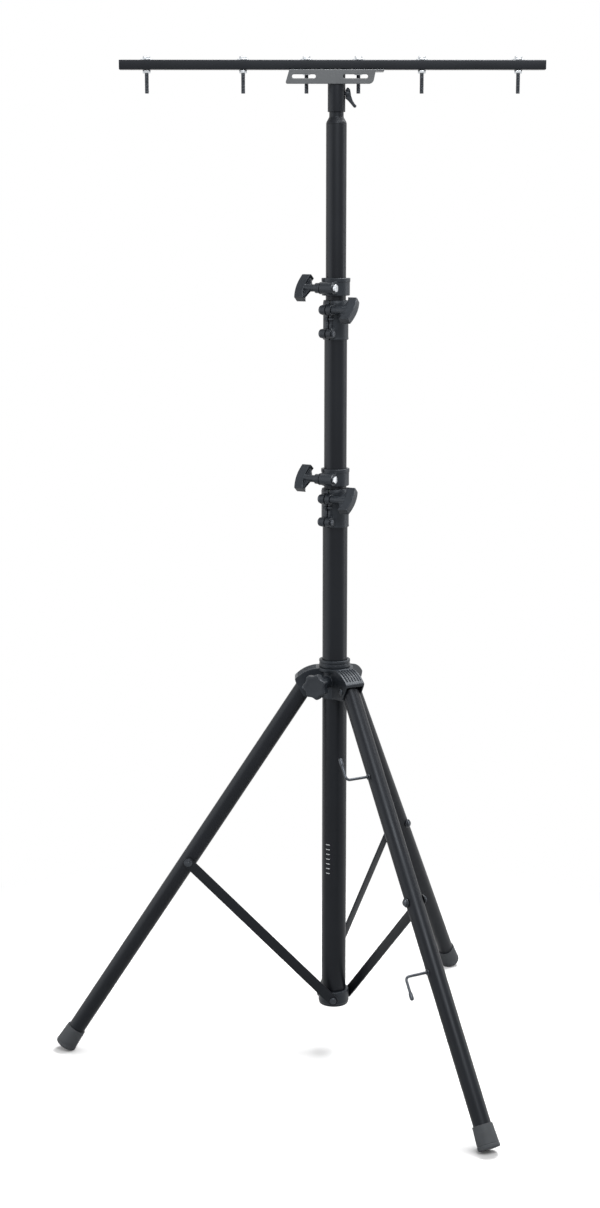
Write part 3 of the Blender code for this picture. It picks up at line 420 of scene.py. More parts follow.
def moulded(solids, cuts, skin, rounds, keep):
    """Solids joined and cut, then skinned anew so that every corner gets the radius that a mould leaves.
    Skin is the size of a face, rounds how often corners are softened, keep the share of faces kept."""
    blanks = [placed("blank", mesh) for mesh in [*solids, *cuts]]
    body = blanks[0]
    for i, other in enumerate(blanks[1:], 1):
        step = body.modifiers.new("step", "BOOLEAN")
        step.operation = "UNION" if i < len(solids) else "DIFFERENCE"
        step.solver = "MANIFOLD"
        step.object = other
    cover = body.modifiers.new("skin", "REMESH")
    cover.mode = "VOXEL"
    cover.voxel_size = skin
    soften = body.modifiers.new("rounds", "SMOOTH")
    soften.iterations = rounds
    thin = body.modifiers.new("thin", "DECIMATE")
    thin.ratio = keep
    result = result_of(body)
    for blank in blanks:
        bpy.data.objects.remove(blank)
    return result


def hood_side(grow):
    """The top of a hood from the side, as (radius, height), grown outwards or inwards."""
    end = math.degrees(math.acos((HOOD_FRONT + grow - HOOD_CENTRE) / (HOOD_R + grow)))
    return arc((HOOD_CENTRE, HUB_HIGH - HOOD_R), HOOD_R + grow, 90, end, 20)


web_top = HUB_HIGH - 0.0001
solids = [
    rod(HUB_R, HUB_HIGH, HUB_LOW, POLE),
    disc(HUB_WEB_R, web_top, HUB_WEB_LOW, POLE, 0.001, 0.002, around=ROUND),
]
cuts = []
for azimuth in LEG_AZIMUTHS.values():
    side = side_of(azimuth)
    outline = hood_side(0) + [(HOOD_FRONT - 0.0015, HOOD_LIP)]
    outline += arc((TOE_OUT, HUB_LOW + 0.01), TOE_R, -25, -90, 12)
    outline += [(HOOD_ROOT, HUB_LOW + 0.001), (HOOD_ROOT, HUB_HIGH)]
    solids.append(upright(outline, CHEEK_OUT, side))
    ahead, under = HOOD_FRONT + 0.02, HUB_LOW - 0.02
    inner = hood_side(-HOOD_WALL) + [(HOOD_FRONT - HOOD_WALL, HOOD_LIP), (ahead, HOOD_LIP), (ahead, under),
                                     (HUB_R + 0.0016, under)]
    cuts.append(upright(inner, CHEEK_IN, side))
    ribbed = [(x, z) for x, z in hood_side(-RIB_DEPTH) if RIB_START < x < RIB_END]
    field = [(x, z + 0.012) for x, z in ribbed] + ribbed[::-1]
    half = RIB_COUNT * RIB_PITCH / 2 + 0.0011
    cuts.append(upright(field, half, side))
knob_side = side_of(KNOB_AZIMUTH) @ move(0, 0, KNOB_Z) @ ALONG_X
knob_back = KNOB_FACE - KNOB_THICK
solids.append(rod(0.012, knob_back - 0.0004, HOOD_ROOT, knob_side, 48))
cuts.append(rod(HUB_BORE, 0.85, 0.75, POLE))
hub_body = moulded(solids, cuts, skin=0.0007, rounds=3, keep=0.35)
fit_piece("hub_moulding", hub_body, nylon, "hub", "hub", sharp=180)

# Ribs on the hoods: half round, swept along each hood from the ring to the front shoulder.
tree, given = new_geometry("hood_ribs", {
    "Count": "Int", "Pitch": "Float", "Rib radius": "Float"})
path = add_node(tree, "GeometryNodeMeshToCurve", {"Mesh": given["Geometry"]})
section = add_node(tree, "GeometryNodeCurvePrimitiveCircle", {
    "Resolution": 14, "Radius": given["Rib radius"]})
rib = add_node(tree, "GeometryNodeCurveToMesh", {
    "Curve": path, "Profile Curve": section, "Fill Caps": True})
less = add_node(tree, "ShaderNodeMath", {0: given["Count"], 1: 1.0}, operation="SUBTRACT")
spread = add_node(tree, "ShaderNodeMath", {0: less, 1: given["Pitch"]}, operation="MULTIPLY")
first = add_node(tree, "ShaderNodeMath", {0: spread, 1: -0.5}, operation="MULTIPLY")
row_start = add_node(tree, "ShaderNodeCombineXYZ", {"Y": first})
row_step = add_node(tree, "ShaderNodeCombineXYZ", {"Y": given["Pitch"]})
row = add_node(tree, "GeometryNodeMeshLine", {
    "Count": given["Count"], "Start Location": row_start, "Offset": row_step})
ribs = add_node(tree, "GeometryNodeInstanceOnPoints", {"Points": row, "Instance": rib})
end_geometry(tree, ribs, nylon)

RIB_R = 0.0021
rib_path = [(x, z) for x, z in hood_side(-RIB_R) if RIB_START - 0.002 < x < RIB_END + 0.002]
for number, azimuth in LEG_AZIMUTHS.items():
    spine = bpy.data.meshes.new("rib_path")
    spine.from_pydata([(x, 0, z) for x, z in rib_path], [(i, i + 1) for i in range(len(rib_path) - 1)], [])
    ribs = grown(tree, spine, {"Count": RIB_COUNT, "Pitch": RIB_PITCH, "Rib radius": RIB_R})
    ribs.transform(side_of(azimuth))
    fit_piece(f"hood_ribs_{number}", ribs, nylon, "hub")

# HUB BUSH
# Nylon liner pressed into the hub. Its grooved ring stands above the hub and slides on the base tube.

RUNNING = 0.0004
BUSH_R, BUSH_TOP, GROOVE_R, LINER_R = 0.0315, 0.843, 0.0302, 0.027
LINER_TOP, LINER_LOW = 0.8283, 0.766
fit_piece("hub_bush_ring", lathe([
    (BASE_R + RUNNING, BUSH_TOP, 0.0012), (BUSH_R, BUSH_TOP, 0.0014), (BUSH_R, 0.8378, 0.0006),
    (GROOVE_R, 0.8372, 0.0004), (GROOVE_R, 0.8352, 0.0004), (BUSH_R, 0.8345, 0.0006),
    (BUSH_R, LINER_TOP, 0.0005), (LINER_R, LINER_TOP, 0), (LINER_R, LINER_LOW, 0.0003),
    (BASE_R + RUNNING, LINER_LOW, 0.0003),
], POLE, closed=True), nylon, "hub", "hub_bush")

# PIVOT BOLTS
# Black oxide bolts that the legs turn on, domed at both ends against the cheeks.

# Bright zinc plate on steel: pale blue grey metal, slightly cloudy.
zinc = mottled("bright_zinc_plate", "a9adb1", "d0d3d6", 260.0, 4.0, {"Metallic": 1.0},
               gloss=(0.22, 0.36))

BOLT_R, PIVOT_HEAD_R = 0.004, 0.0066
cheek_face = CHEEK_OUT + FIT
dome = [(0, 0.0036, 0), (BOLT_R, 0.0034, 0.002), (PIVOT_HEAD_R, 0.0012, 0.001), (PIVOT_HEAD_R, 0, 0.0003),
        (BOLT_R, 0, 0)]
for number, azimuth in LEG_AZIMUTHS.items():
    spot = side_of(azimuth) @ move(PIVOT_R, 0, PIVOT_Z) @ ALONG_Y
    upper = [(r, cheek_face + z, fillet) for r, z, fillet in dome]
    lower = [(r, -z, fillet) for r, z, fillet in upper[::-1]]
    bolt = lathe(upper + lower, spot, around=48)
    fit_piece(f"pivot_bolt_{number}_domed", bolt, black_oxide, "hub", f"pivot_bolt_{number}")

# STAR KNOB
# Moulded seven lobed knob on a threaded stem. It presses on the hub's liner and locks the legs' spread.

KNOB_R, KNOB_LOBE, KNOB_LOBES, KNOB_STEM_R = 0.0238, 0.002, 7, 0.005

tree, given = new_geometry("star_knob_lobes", {
    "Lobes": "Int", "Rim radius": "Float", "Lobe depth": "Float"})
spot = add_node(tree, "GeometryNodeInputPosition")
parts_of = add_node(tree, "ShaderNodeSeparateXYZ", {"Vector": spot}).outputs
turn = add_node(tree, "ShaderNodeMath", {0: parts_of["Y"], 1: parts_of["X"]}, operation="ARCTAN2")
turns = add_node(tree, "ShaderNodeMath", {0: turn, 1: given["Lobes"]}, operation="MULTIPLY")
wave = add_node(tree, "ShaderNodeMath", {0: turns}, operation="SINE")
wave_twice = add_node(tree, "ShaderNodeMath", {0: wave, 1: wave}, operation="MULTIPLY")
peaks = add_node(tree, "ShaderNodeMath", {0: wave_twice, 1: 0.3, 2: wave}, operation="MULTIPLY_ADD")
depth = add_node(tree, "ShaderNodeMath", {
    0: given["Lobe depth"], 1: given["Rim radius"]}, operation="DIVIDE")
flat_spot = add_node(tree, "ShaderNodeCombineXYZ", {"X": parts_of["X"], "Y": parts_of["Y"]})
radius = add_node(tree, "ShaderNodeVectorMath", {0: flat_spot}, operation="LENGTH")
rim_share = add_node(tree, "ShaderNodeMapRange", {
    "Value": radius.outputs["Value"], "From Min": 0.012, "From Max": given["Rim radius"], "To Min": 0.0,
    "To Max": 1.0}, interpolation_type="SMOOTHSTEP")
stretch = add_node(tree, "ShaderNodeMath", {0: rim_share, 1: depth}, operation="MULTIPLY")
grow = add_node(tree, "ShaderNodeMath", {0: stretch, 1: peaks}, operation="MULTIPLY")
push = add_node(tree, "ShaderNodeVectorMath", {0: flat_spot, "Scale": grow}, operation="SCALE")
lobed = add_node(tree, "GeometryNodeSetPosition", {"Geometry": given["Geometry"], "Offset": push})
end_geometry(tree, lobed, nylon)

blank = lathe([
    (0, KNOB_FACE - 0.0004, 0), (0.012, KNOB_FACE - 0.0004, 0.003), (0.0195, KNOB_FACE, 0.002),
    (KNOB_R - 0.0005, KNOB_FACE - 0.0004, 0.0018), (KNOB_R, KNOB_FACE - 0.004, 0.001),
    (KNOB_R, knob_back + 0.004, 0.001), (KNOB_R - 0.001, knob_back, 0.0015), (0.011, knob_back, 0.001),
    (0.0105, knob_back + 0.002, 0.001), (KNOB_STEM_R, knob_back + 0.002, 0), (KNOB_STEM_R, HUB_BORE, 0.0005),
    (0, HUB_BORE, 0),
], Matrix.Identity(4), around=168)
knob = grown(tree, blank, {"Lobes": KNOB_LOBES, "Rim radius": KNOB_R, "Lobe depth": KNOB_LOBE})
knob.transform(knob_side)
fit_piece("star_knob_moulding", knob, nylon, "knob", "star_knob", sharp=40)

# LEGS AND FEET
# 35 mm powder coated steel tubes that turn on the pivot bolts. Each stands in a cup of grey rubber with
# a thick sole, pressed over the tube's end.

LEG_ANGLE = math.radians(33.03)
LEG_ABOVE = 0.0085
FOOT_ROUND, FOOT_LOW_R, FOOT_HIGH_R, FOOT_LENGTH, FOOT_FLOOR = 0.004, 0.022, 0.02, 0.046, 0.006
FOOT_DROP = (FOOT_LOW_R - FOOT_ROUND) * math.sin(LEG_ANGLE)
SOLE = (PIVOT_Z - FOOT_DROP - FOOT_ROUND) / math.cos(LEG_ANGLE) + FOOT_ROUND

# Grey rubber: matt, soft, with dust in its pores and a paler bloom.
rubber = mottled("dusty_grey_rubber", "24272a", "33373b", 60.0, 5.0, {"Roughness": 0.68},
                 grain=(900.0, 2.0, 0.3, 0.0003))

LEG_PIVOTS = {}
for number, azimuth in LEG_AZIMUTHS.items():
    pivot = side_of(azimuth) @ move(PIVOT_R, 0, PIVOT_Z) @ spin(-LEG_ANGLE, "Y")
    LEG_PIVOTS[number] = pivot
    leg = round_tube(LEG_R, FOOT_FLOOR + FIT - SOLE, LEG_ABOVE, pivot)
    fit_piece(f"leg_{number}_tube", leg, powder_coat, f"leg_{number}", f"leg_{number}")
    floor, rim = FOOT_FLOOR - SOLE, FOOT_LENGTH - SOLE
    foot = lathe([
        (0, floor, 0), (LEG_R + FIT, floor, 0), (LEG_R + FIT, rim, 0.0005), (FOOT_HIGH_R, rim, 0.0014),
        (FOOT_LOW_R - 0.0004, 0.0095 - SOLE, 0.0006), (FOOT_LOW_R - 0.0008, 0.009 - SOLE, 0.0003),
        (FOOT_LOW_R - 0.0008, 0.0084 - SOLE, 0.0003), (FOOT_LOW_R, 0.0078 - SOLE, 0.0006),
        (FOOT_LOW_R, -SOLE, FOOT_ROUND), (0.0135, -SOLE, 0.0006), (0.0125, 0.0012 - SOLE, 0.0005),
        (0.0105, 0.0012 - SOLE, 0.0005), (0.0095, -SOLE, 0.0006), (0, -SOLE, 0),
    ], pivot)
    fit_piece(f"foot_{number}_cup", foot, rubber, f"leg_{number}", f"foot_{number}")

# BRACES AND THEIR BOLTS
# Flat steel strips, 21 by 3.5 mm, joggled near both ends so that each lies against the collar and beside
# the leg. A bolt with a plastic ring under its head joins each brace to its leg, under a lock nut.

BRACE_ON_LEG = 0.4425
BRACE_WIDTH, BRACE_FLAT = 0.021, 0.024
BRACE_FOOT_Y = COLLAR_R + FIT + BRACE_THICK / 2
BRACE_LEG_Y = LEG_R + RUNNING + BRACE_THICK / 2
BRACE_RISE = PIVOT_Z - BRACE_ON_LEG * math.cos(LEG_ANGLE) - PIN_Z
BRACE_RUN = PIVOT_R + BRACE_ON_LEG * math.sin(LEG_ANGLE) - PIN_X
BRACE_LENGTH = math.hypot(BRACE_RUN, BRACE_RISE)
BRACE_ANGLE = math.atan2(BRACE_RUN, BRACE_RISE)
JOGGLE = 0.008
LOCK_NUT = 0.0112


def joined(*meshes):
    """One mesh from several."""
    bm = bmesh.new()
    for mesh in meshes:
        bm.from_mesh(mesh)
    result = bpy.data.meshes.new("joined")
    bm.to_mesh(result)
    bm.free()
    return result


def hex_nut(low, high, place, across=0.013):
    """A plain hexagon along Z with chamfered corners."""
    return slab(arc((0, 0), across / math.sqrt(3), 0, 300, 5), low, high, place, edge=0.0007, steps=2)


for number, azimuth in LEG_AZIMUTHS.items():
    pin = side_of(azimuth) @ move(PIN_X, 0, PIN_Z) @ spin(BRACE_ANGLE, "Y")
    half = BRACE_WIDTH / 2
    outline = arc((0, BRACE_LENGTH), half, 0, 180, 18) + arc((0, 0), half, 180, 360, 18)
    strip = slab(outline, -BRACE_THICK / 2, BRACE_THICK / 2, Matrix.Identity(4), edge=0.0006)
    bm = bmesh.new()
    bm.from_mesh(strip)
    for bend in (BRACE_FLAT, BRACE_LENGTH - BRACE_FLAT):
        for i in range(5):
            everything = bm.verts[:] + bm.edges[:] + bm.faces[:]
            cut_at = (0, bend + JOGGLE * (i / 2 - 1), 0)
            bmesh.ops.bisect_plane(bm, geom=everything, plane_co=cut_at, plane_no=(0, 1, 0))
    for vert in bm.verts:
        start, end = BRACE_FLAT, BRACE_LENGTH - BRACE_FLAT
        share = 0.0
        for sample in range(9):
            y = vert.co.y + JOGGLE * (sample / 4 - 1)
            share += min(max((y - start) / (end - start), 0), 1) / 9
        vert.co.z -= BRACE_FOOT_Y + (BRACE_LEG_Y - BRACE_FOOT_Y) * share
    bm.to_mesh(strip)
    bm.free()
    strip.transform(pin @ UPRIGHT)
    fit_piece(f"brace_{number}_strip", strip, powder_coat, f"brace_{number}", f"brace_{number}")
    end_at = pin @ move(0, 0, BRACE_LENGTH) @ ALONG_Y
    face = BRACE_LEG_Y + BRACE_THICK / 2
    washer = disc(0.0085, face + 0.0012, face, end_at, 0.0004, 0.0003, around=48)
    dome = disc(0.0035, face + 0.0055, face + 0.003, end_at, 0.001, 0, low_radius=0.0045, around=32)
    nut = hex_nut(face + 0.001, face + 0.0048, end_at, LOCK_NUT)
    fit_piece(f"brace_{number}_lock_nut", joined(washer, nut, dome), black_oxide, f"brace_{number}")
    bolt_at = LEG_PIVOTS[number] @ move(0, 0, -BRACE_ON_LEG) @ ALONG_Y
    face = LEG_R + FIT
    ring = lathe([
        (0.0042, -face - 0.0001, 0), (0.0042, -face - 0.0035, 0.0005), (0.0068, -face - 0.0035, 0.0006),
        (0.0095, -face - 0.0022, 0.0008), (0.0095, -face, 0.0003),
    ], bolt_at, closed=True, around=48)
    fit_piece(f"brace_bolt_{number}_ring", ring, nylon, f"leg_{number}")
    bolt = lathe([
        (0, LEG_R, 0), (0.0035, LEG_R, 0.0004), (0.0035, -face - 0.0036, 0), (0.0065, -face - 0.0036, 0.0004),
        (0.0062, -face - 0.0058, 0.0012), (0.0032, -face - 0.007, 0.0012), (0, -face - 0.007, 0),
    ], bolt_at, around=48)
    fit_piece(f"brace_bolt_{number}_head", bolt, black_oxide, f"leg_{number}", f"brace_bolt_{number}")

# CABLE HOOKS
# Two hooks of bent steel wire with dipped, thicker ends, fixed through one leg. Spare cable is wound
# between them, so the upper one points up and the lower one down.

HOOK_WIRE_R, HOOK_BULB_R = 0.0027, 0.004
HOOK_OUT, HOOK_BEND, HOOK_TAIL, HOOK_DEPTH = 0.0682, 0.008, 0.046, 0.007


def cable_hook(name, down, turn, cad_node):
    """A hook out of the side of the leg and then along it, up (1) or down (-1)."""
    line = [(-LEG_R + HOOK_DEPTH, 0, 1.0), (-LEG_R - 0.004, 0, 1.0), (-0.04, 0, 1.0)]
    for y, z in arc((-HOOK_OUT + HOOK_BEND, 0), HOOK_BEND, 180 + 90 * turn, 180, 14):
        line.append((y, z + turn * HOOK_BEND, 1.0))
    swell = HOOK_BULB_R / HOOK_WIRE_R
    for back, width in ((0.019, 1.0), (0.0165, 1.06), (0.0125, swell), (0.0035, swell),
                        (0.0018, 0.92 * swell), (0.0006, 0.66 * swell), (0.0001, 0.3 * swell), (0.0, 0.02)):
        line.append((-HOOK_OUT, turn * (HOOK_TAIL - back), width))
    curve = bpy.data.curves.new(name, "CURVE")
    curve.dimensions = "3D"
    curve.bevel_depth = HOOK_WIRE_R
    curve.bevel_resolution = 5
    curve.use_fill_caps = True
    spline = curve.splines.new("POLY")
    spline.points.add(len(line) - 1)
    for point, (y, z, width) in zip(spline.points, line):
        point.co = (0, y, z, 1)
        point.radius = width
    wire = placed(name, curve)
    mesh = result_of(wire)
    bpy.data.objects.remove(wire)
    mesh.transform(LEG_PIVOTS[2] @ move(0, 0, -down))
    washer = lathe([
        (HOOK_WIRE_R + 0.0001, LEG_R + 0.0016, 0.0003), (0.0062, LEG_R + 0.0016, 0.0006),
        (0.0062, LEG_R + 0.0002, 0.0002), (HOOK_WIRE_R + 0.0001, LEG_R + 0.0002, 0),
    ], LEG_PIVOTS[2] @ move(0, 0, -down) @ UPRIGHT, closed=True, around=32)
    fit_piece(name, joined(mesh, washer), black_oxide, "leg_2", cad_node, sharp=40)


cable_hook("upper_cable_hook_wire", 0.182, 1, "cable_hook_upper")
cable_hook("lower_cable_hook_wire", 0.582, -1, "cable_hook_lower")

# INNER TUBES AND THEIR GUIDE PLUGS
# 45 mm and 40 mm steel tubes in the same coat. The plugs on their lower ends are natural nylon turned
# parts that stay as the CAD has them, inside the outer tubes.

MIDDLE_R, TOP_R = 0.0225, 0.02

for name, radius in (("middle", MIDDLE_R), ("top", TOP_R)):
    low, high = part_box(f"{name}_tube")
    tube = round_tube(radius, low.z, high.z, POLE)
    fit_piece(f"{name}_tube_coated", tube, powder_coat, name, f"{name}_tube")

# Natural nylon: warm white, waxy, slightly translucent, with faint turning rings 0.8 mm apart.
natural_nylon, tree, shader, place = new_finish("turned_natural_nylon")
rings = add_node(tree, "ShaderNodeTexWave", {
    "Vector": place, "Scale": 400.0, "Distortion": 0.4}, bands_direction="Z")
tone = add_node(tree, "ShaderNodeMix", {"Factor": rings.outputs["Fac"]}, data_type="RGBA")
feed(tree, tone, {"A": linear("cfccc0"), "B": linear("dedbd0")})
bump = add_node(tree, "ShaderNodeBump", {"Height": rings.outputs["Fac"], "Strength": 0.1, "Distance": 0.0001})
feed(tree, shader, {"Base Color": tone.outputs["Result"], "Normal": bump, "Roughness": 0.45,
                    "Subsurface Weight": 0.08, "Subsurface Scale": 0.002})
for name in ("middle_stop", "top_stop", "lower_liner", "upper_liner"):
    nodes[name].data.materials.clear()
    nodes[name].data.materials.append(natural_nylon)

# CLAMP SLEEVES
# Split nylon sleeves screwed on the tops of the base and middle tubes. The T-handle's bolt draws the
# upper pair of ears together round the inner tube; the lower pair has a fixed screw and lock nut.

EAR_AZIMUTH = math.radians(240.0)
EAR_REACH = 0.0125
SLEEVE_WALL = 0.0025
EAR_SLIT, EAR_WIDTH = 0.0024, 0.022
CLAMP_EAR_Z, SCREW_EAR_Z = 0.059, 0.013
TILT_SLEEVE = math.radians(43.0)
CAP_R, CAP_HIGH = 0.0088, 0.006
CLAMP_AXES = {}

clamped = (("lower", BASE_R, MIDDLE_R, "base"), ("upper", MIDDLE_R, TOP_R, "middle"))
for level, tube_r, inner_r, body in clamped:
    low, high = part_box(f"{level}_sleeve")
    ears = POLE @ move(0, 0, low.z) @ spin(EAR_AZIMUTH, "Z")
    axis_out = tube_r + EAR_REACH
    out = tube_r + SLEEVE_WALL
    tall = high.z - low.z
    here = POLE @ move(0, 0, low.z)
    solids = [
        lathe([(0, tall, 0), (out - 0.0006, tall, 0.001), (out, tall - 0.004, 0.001), (out, 0, 0.0008),
               (0, 0, 0)], here),
        rod(out + 0.0003, tall - 0.0045, tall - 0.013, here),
        rod(out + 0.0003, 0.0035, 0.0002, here),
    ]
    root = tube_r + 0.0013
    for height, radius in ((CLAMP_EAR_Z, 0.01), (SCREW_EAR_Z, 0.0095)):
        nose = arc((axis_out, height), radius, -90, 90, 24)
        outline = [(root, height - radius), *nose, (root, height + radius)]
        solids.append(upright(outline, EAR_WIDTH / 2, ears))
    web_out = tube_r + 0.0075
    web = [(root, 0.012), (web_out, 0.012), (web_out, 0.03), (tube_r + 0.0055, 0.034), (web_out, 0.038),
           (web_out, 0.058), (root, 0.058)]
    solids.append(upright(web, 0.0062, ears))
    rib_out = tube_r + 0.0095
    rib = [(root, 0.039), (rib_out, 0.039), (rib_out, 0.0435), (root, 0.0435)]
    solids.append(upright(rib, 0.0088, ears))
    cuts = [
        lathe([(0, tall + 0.01, 0), (inner_r + RUNNING, tall + 0.01, 0), (inner_r + RUNNING, tall - 0.002, 0),
               (tube_r + FIT, tall - 0.002, 0), (tube_r + FIT, -0.01, 0), (0, -0.01, 0)], here),
        upright([(inner_r - 0.001, -0.001), (axis_out + 0.02, -0.001), (axis_out + 0.02, tall + 0.001),
                 (inner_r - 0.001, tall + 0.001)], EAR_SLIT / 2, ears),
    ]
    sleeve = moulded(solids, cuts, skin=0.00065, rounds=3, keep=0.4)
    fit_piece(f"{level}_sleeve_moulding", sleeve, nylon, body, f"{level}_sleeve", sharp=180)
    axis = ears @ move(axis_out, 0, CLAMP_EAR_Z)
    CLAMP_AXES[f"{level}_sleeve"] = axis @ spin(-TILT_SLEEVE, "Y")
    face = EAR_WIDTH / 2 + FIT
    cap = [(0, -face, 0), (CAP_R, -face, 0.0003), (CAP_R, -face - 0.0028, 0.002),
           (0.005, -face - CAP_HIGH, 0.0022), (0, -face - CAP_HIGH, 0)]
    fit_piece(f"{level}_sleeve_cap_nut", lathe(cap, axis @ ALONG_Y, around=64), black_oxide, body,
              f"{level}_sleeve_nut")
    screw_at = ears @ move(axis_out, 0, SCREW_EAR_Z) @ ALONG_Y
    pin = rod(BOLT_R, face, -face, screw_at, 32)
    fit_piece(f"{level}_sleeve_fixing_screw", joined(lathe(cap, screw_at, around=64), pin), black_oxide, body,
              f"{level}_sleeve_screw")
    nut = hex_nut(face + 0.0006, face + 0.0048, screw_at, LOCK_NUT)
    skirt = disc(0.0065, face + 0.001, face, screw_at, 0.0004, 0.0002, around=48)
    tip = disc(0.003, face + 0.0055, face + 0.003, screw_at, 0.0008, 0, low_radius=0.0032, around=32)
    fit_piece(f"{level}_sleeve_lock_nut", joined(nut, skirt, tip), black_oxide, body)

# SAFETY COLLARS
# Split nylon rings on the inner tubes that rest on the sleeves as a second lock. Each has a flange at
# the top and one wide ear with a slit near its handle, drawn together by a T-handle against a zinc nut.

SAFETY_R, SAFETY_HEIGHT, SAFETY_FLANGE = 0.0278, 0.034, 0.007
SAFETY_OUT, SAFETY_EAR_Z, SAFETY_EAR_R, SAFETY_EAR_WIDTH = 0.036, 0.015, 0.0117, 0.031
SAFETY_SLIT_AT, SAFETY_SLIT = -0.0125, 0.0012
TILT_COLLAR = math.radians(37.0)

for level, tube_r in (("lower", MIDDLE_R), ("upper", TOP_R)):
    low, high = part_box(f"{level}_collar")
    here = POLE @ move(0, 0, low.z)
    ear = here @ spin(EAR_AZIMUTH, "Z")
    bore = tube_r + RUNNING
    shelf = SAFETY_HEIGHT - SAFETY_FLANGE
    brim, wall = SAFETY_R + 0.0006, SAFETY_R - 0.0002
    lobe = [(bore + 0.001, SAFETY_EAR_Z - SAFETY_EAR_R)]
    lobe += arc((SAFETY_OUT, SAFETY_EAR_Z), SAFETY_EAR_R, -90, 90, 28)
    lobe += [(bore + 0.001, SAFETY_EAR_Z + SAFETY_EAR_R)]
    solids = [
        lathe([(0, SAFETY_HEIGHT, 0), (brim, SAFETY_HEIGHT, 0.0008), (brim, shelf, 0),
               (wall, shelf - 0.0008, 0), (wall, 0, 0.0008), (0, 0, 0)], here),
        upright(lobe, SAFETY_EAR_WIDTH / 2, ear),
    ]
    cuts = [
        rod(bore, 0.05, -0.01, here),
        slab([(0, -0.001), (SAFETY_OUT + 0.02, -0.001), (SAFETY_OUT + 0.02, 0.036), (0, 0.036)],
             -SAFETY_SLIT_AT - SAFETY_SLIT / 2, -SAFETY_SLIT_AT + SAFETY_SLIT / 2, ear @ UPRIGHT),
    ]
    collar = moulded(solids, cuts, skin=0.0005, rounds=3, keep=0.35)
    fit_piece(f"{level}_collar_moulding", collar, nylon, f"{level}_safety", f"{level}_collar", sharp=180)
    axis = ear @ move(SAFETY_OUT, 0, SAFETY_EAR_Z) @ spin(-TILT_COLLAR, "Y")
    CLAMP_AXES[f"{level}_collar"] = axis
    face = SAFETY_EAR_WIDTH / 2 + FIT
    spot = axis @ ALONG_Y
    if level == "lower":
        nut = hex_nut(face, face + 0.0055, spot)
    else:
        nut = disc(0.0075, face + 0.0055, face, spot, 0.0012, 0.0004)
    fit_piece(f"{level}_collar_zinc_nut", nut, zinc, f"{level}_safety", f"{level}_collar_nut")

# T-HANDLES
# Nylon handles moulded on M8 bolts: a round stem and an arched grip with a hollow inner side. Those of
# the collars have a stepped stem. Their bolts are threaded steel.

GRIP_HALF, GRIP_END, GRIP_ARCH, GRIP_WIDTH = 0.0275, 0.02, 0.0045, 0.016
GRIP_HOLLOW, GRIP_EDGE = 0.006, 0.003
WEB_THICK, WEB_REACH, WEB_HALF = 0.006, 0.006, 0.0215
STEM_R, STEP_R = 0.0075, 0.01
SLEEVE_STEM, COLLAR_STEM, COLLAR_STEP = 0.0272, 0.0255, 0.009
GRIP_ACROSS = spin(math.pi / 2, "Z") @ UPRIGHT


def t_handle(name, sign, start, stem, step=0.0):
    """A handle on its clamp's axis, out along +Y (1) or -Y (-1) of that axis."""
    axis = CLAMP_AXES[name]
    along = axis @ (ALONG_Y if sign > 0 else UPRIGHT)
    end = start + stem
    outer, inner = [], []
    for i in range(29):
        share = i / 14 - 1
        fall = 1 - share * share
        outer.append((sign * (GRIP_END + GRIP_ARCH * fall), share * GRIP_HALF))
        inner.append((sign * GRIP_HOLLOW * fall, share * GRIP_HALF))
    grip_at = axis @ move(0, sign * end, 0) @ GRIP_ACROSS
    web = [(sign * x, y) for x, y in (
        (0.013, -WEB_HALF), (0.013, WEB_HALF), (0.001, WEB_HALF), (-WEB_REACH, 0.0065), (-WEB_REACH, -0.0065),
        (0.001, -WEB_HALF))]
    solids = [
        slab(outer + inner[::-1], -GRIP_WIDTH / 2, GRIP_WIDTH / 2, grip_at, edge=GRIP_EDGE, steps=5),
        slab(web, -WEB_THICK / 2, WEB_THICK / 2, grip_at),
        lathe([(0, end + 0.008, 0), (STEM_R, end + 0.008, 0), (STEM_R - 0.0004, start + 0.012, 0),
               (STEM_R, start, 0.0006), (0, start, 0)], along, around=64),
    ]
    if step:
        solids.append(disc(STEP_R, start + step, start, along, 0.0012, 0.0006))
    handle = moulded(solids, [], skin=0.00055, rounds=4, keep=0.4)
    fit_piece(f"{name}_handle_moulding", handle, nylon, f"{name}_handle", f"{name}_handle", sharp=180)
    bolt = disc(BOLT_R, start + 0.001, -start + 0.001, along, 0, 0.0005, around=32)
    fit_piece(f"{name}_handle_bolt", bolt, zinc, f"{name}_handle")


for level in ("lower", "upper"):
    t_handle(f"{level}_sleeve", 1, EAR_WIDTH / 2 + FIT, SLEEVE_STEM)
    t_handle(f"{level}_collar", -1, SAFETY_EAR_WIDTH / 2 + FIT, COLLAR_STEM, COLLAR_STEP)

# SPIGOT
# Turned steel plug in the top tube with a flared shoulder and the 28 mm pin that stage fittings sit on.

low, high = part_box("spigot")
TOP_END = 1.901
PIN_R, PLUG_R = 0.014, 0.0185
fit_piece("spigot_turned", lathe([
    (0, high.z, 0), (PIN_R, high.z, 0.0015), (PIN_R, TOP_END + 0.013, 0.0012),
    (0.0192, TOP_END + 0.0036, 0.0025), (TOP_R, TOP_END + 0.0012, 0.0006), (TOP_R, TOP_END + FIT, 0.0003),
    (PLUG_R, TOP_END + FIT, 0), (PLUG_R, low.z, 0.0008), (0, low.z, 0),
], POLE), powder_coat, "top", "spigot")

# ADAPTER SOCKET AND LEVER
# Steel tube that drops over the spigot, welded to the bracket's top, and a nylon lever whose screw
# clamps it. The weld shows as a rough bead under the paint.

SOCKET_R = 0.017
low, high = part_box("adapter_socket")
fit_piece("adapter_socket_tube", lathe([
    (SOCKET_R, high.z, DEBURR), (SOCKET_R, low.z, 0.0005), (0.0143, low.z, 0.0005), (0.0143, high.z, DEBURR),
], POLE, closed=True), powder_coat, "adapter", "adapter_socket")

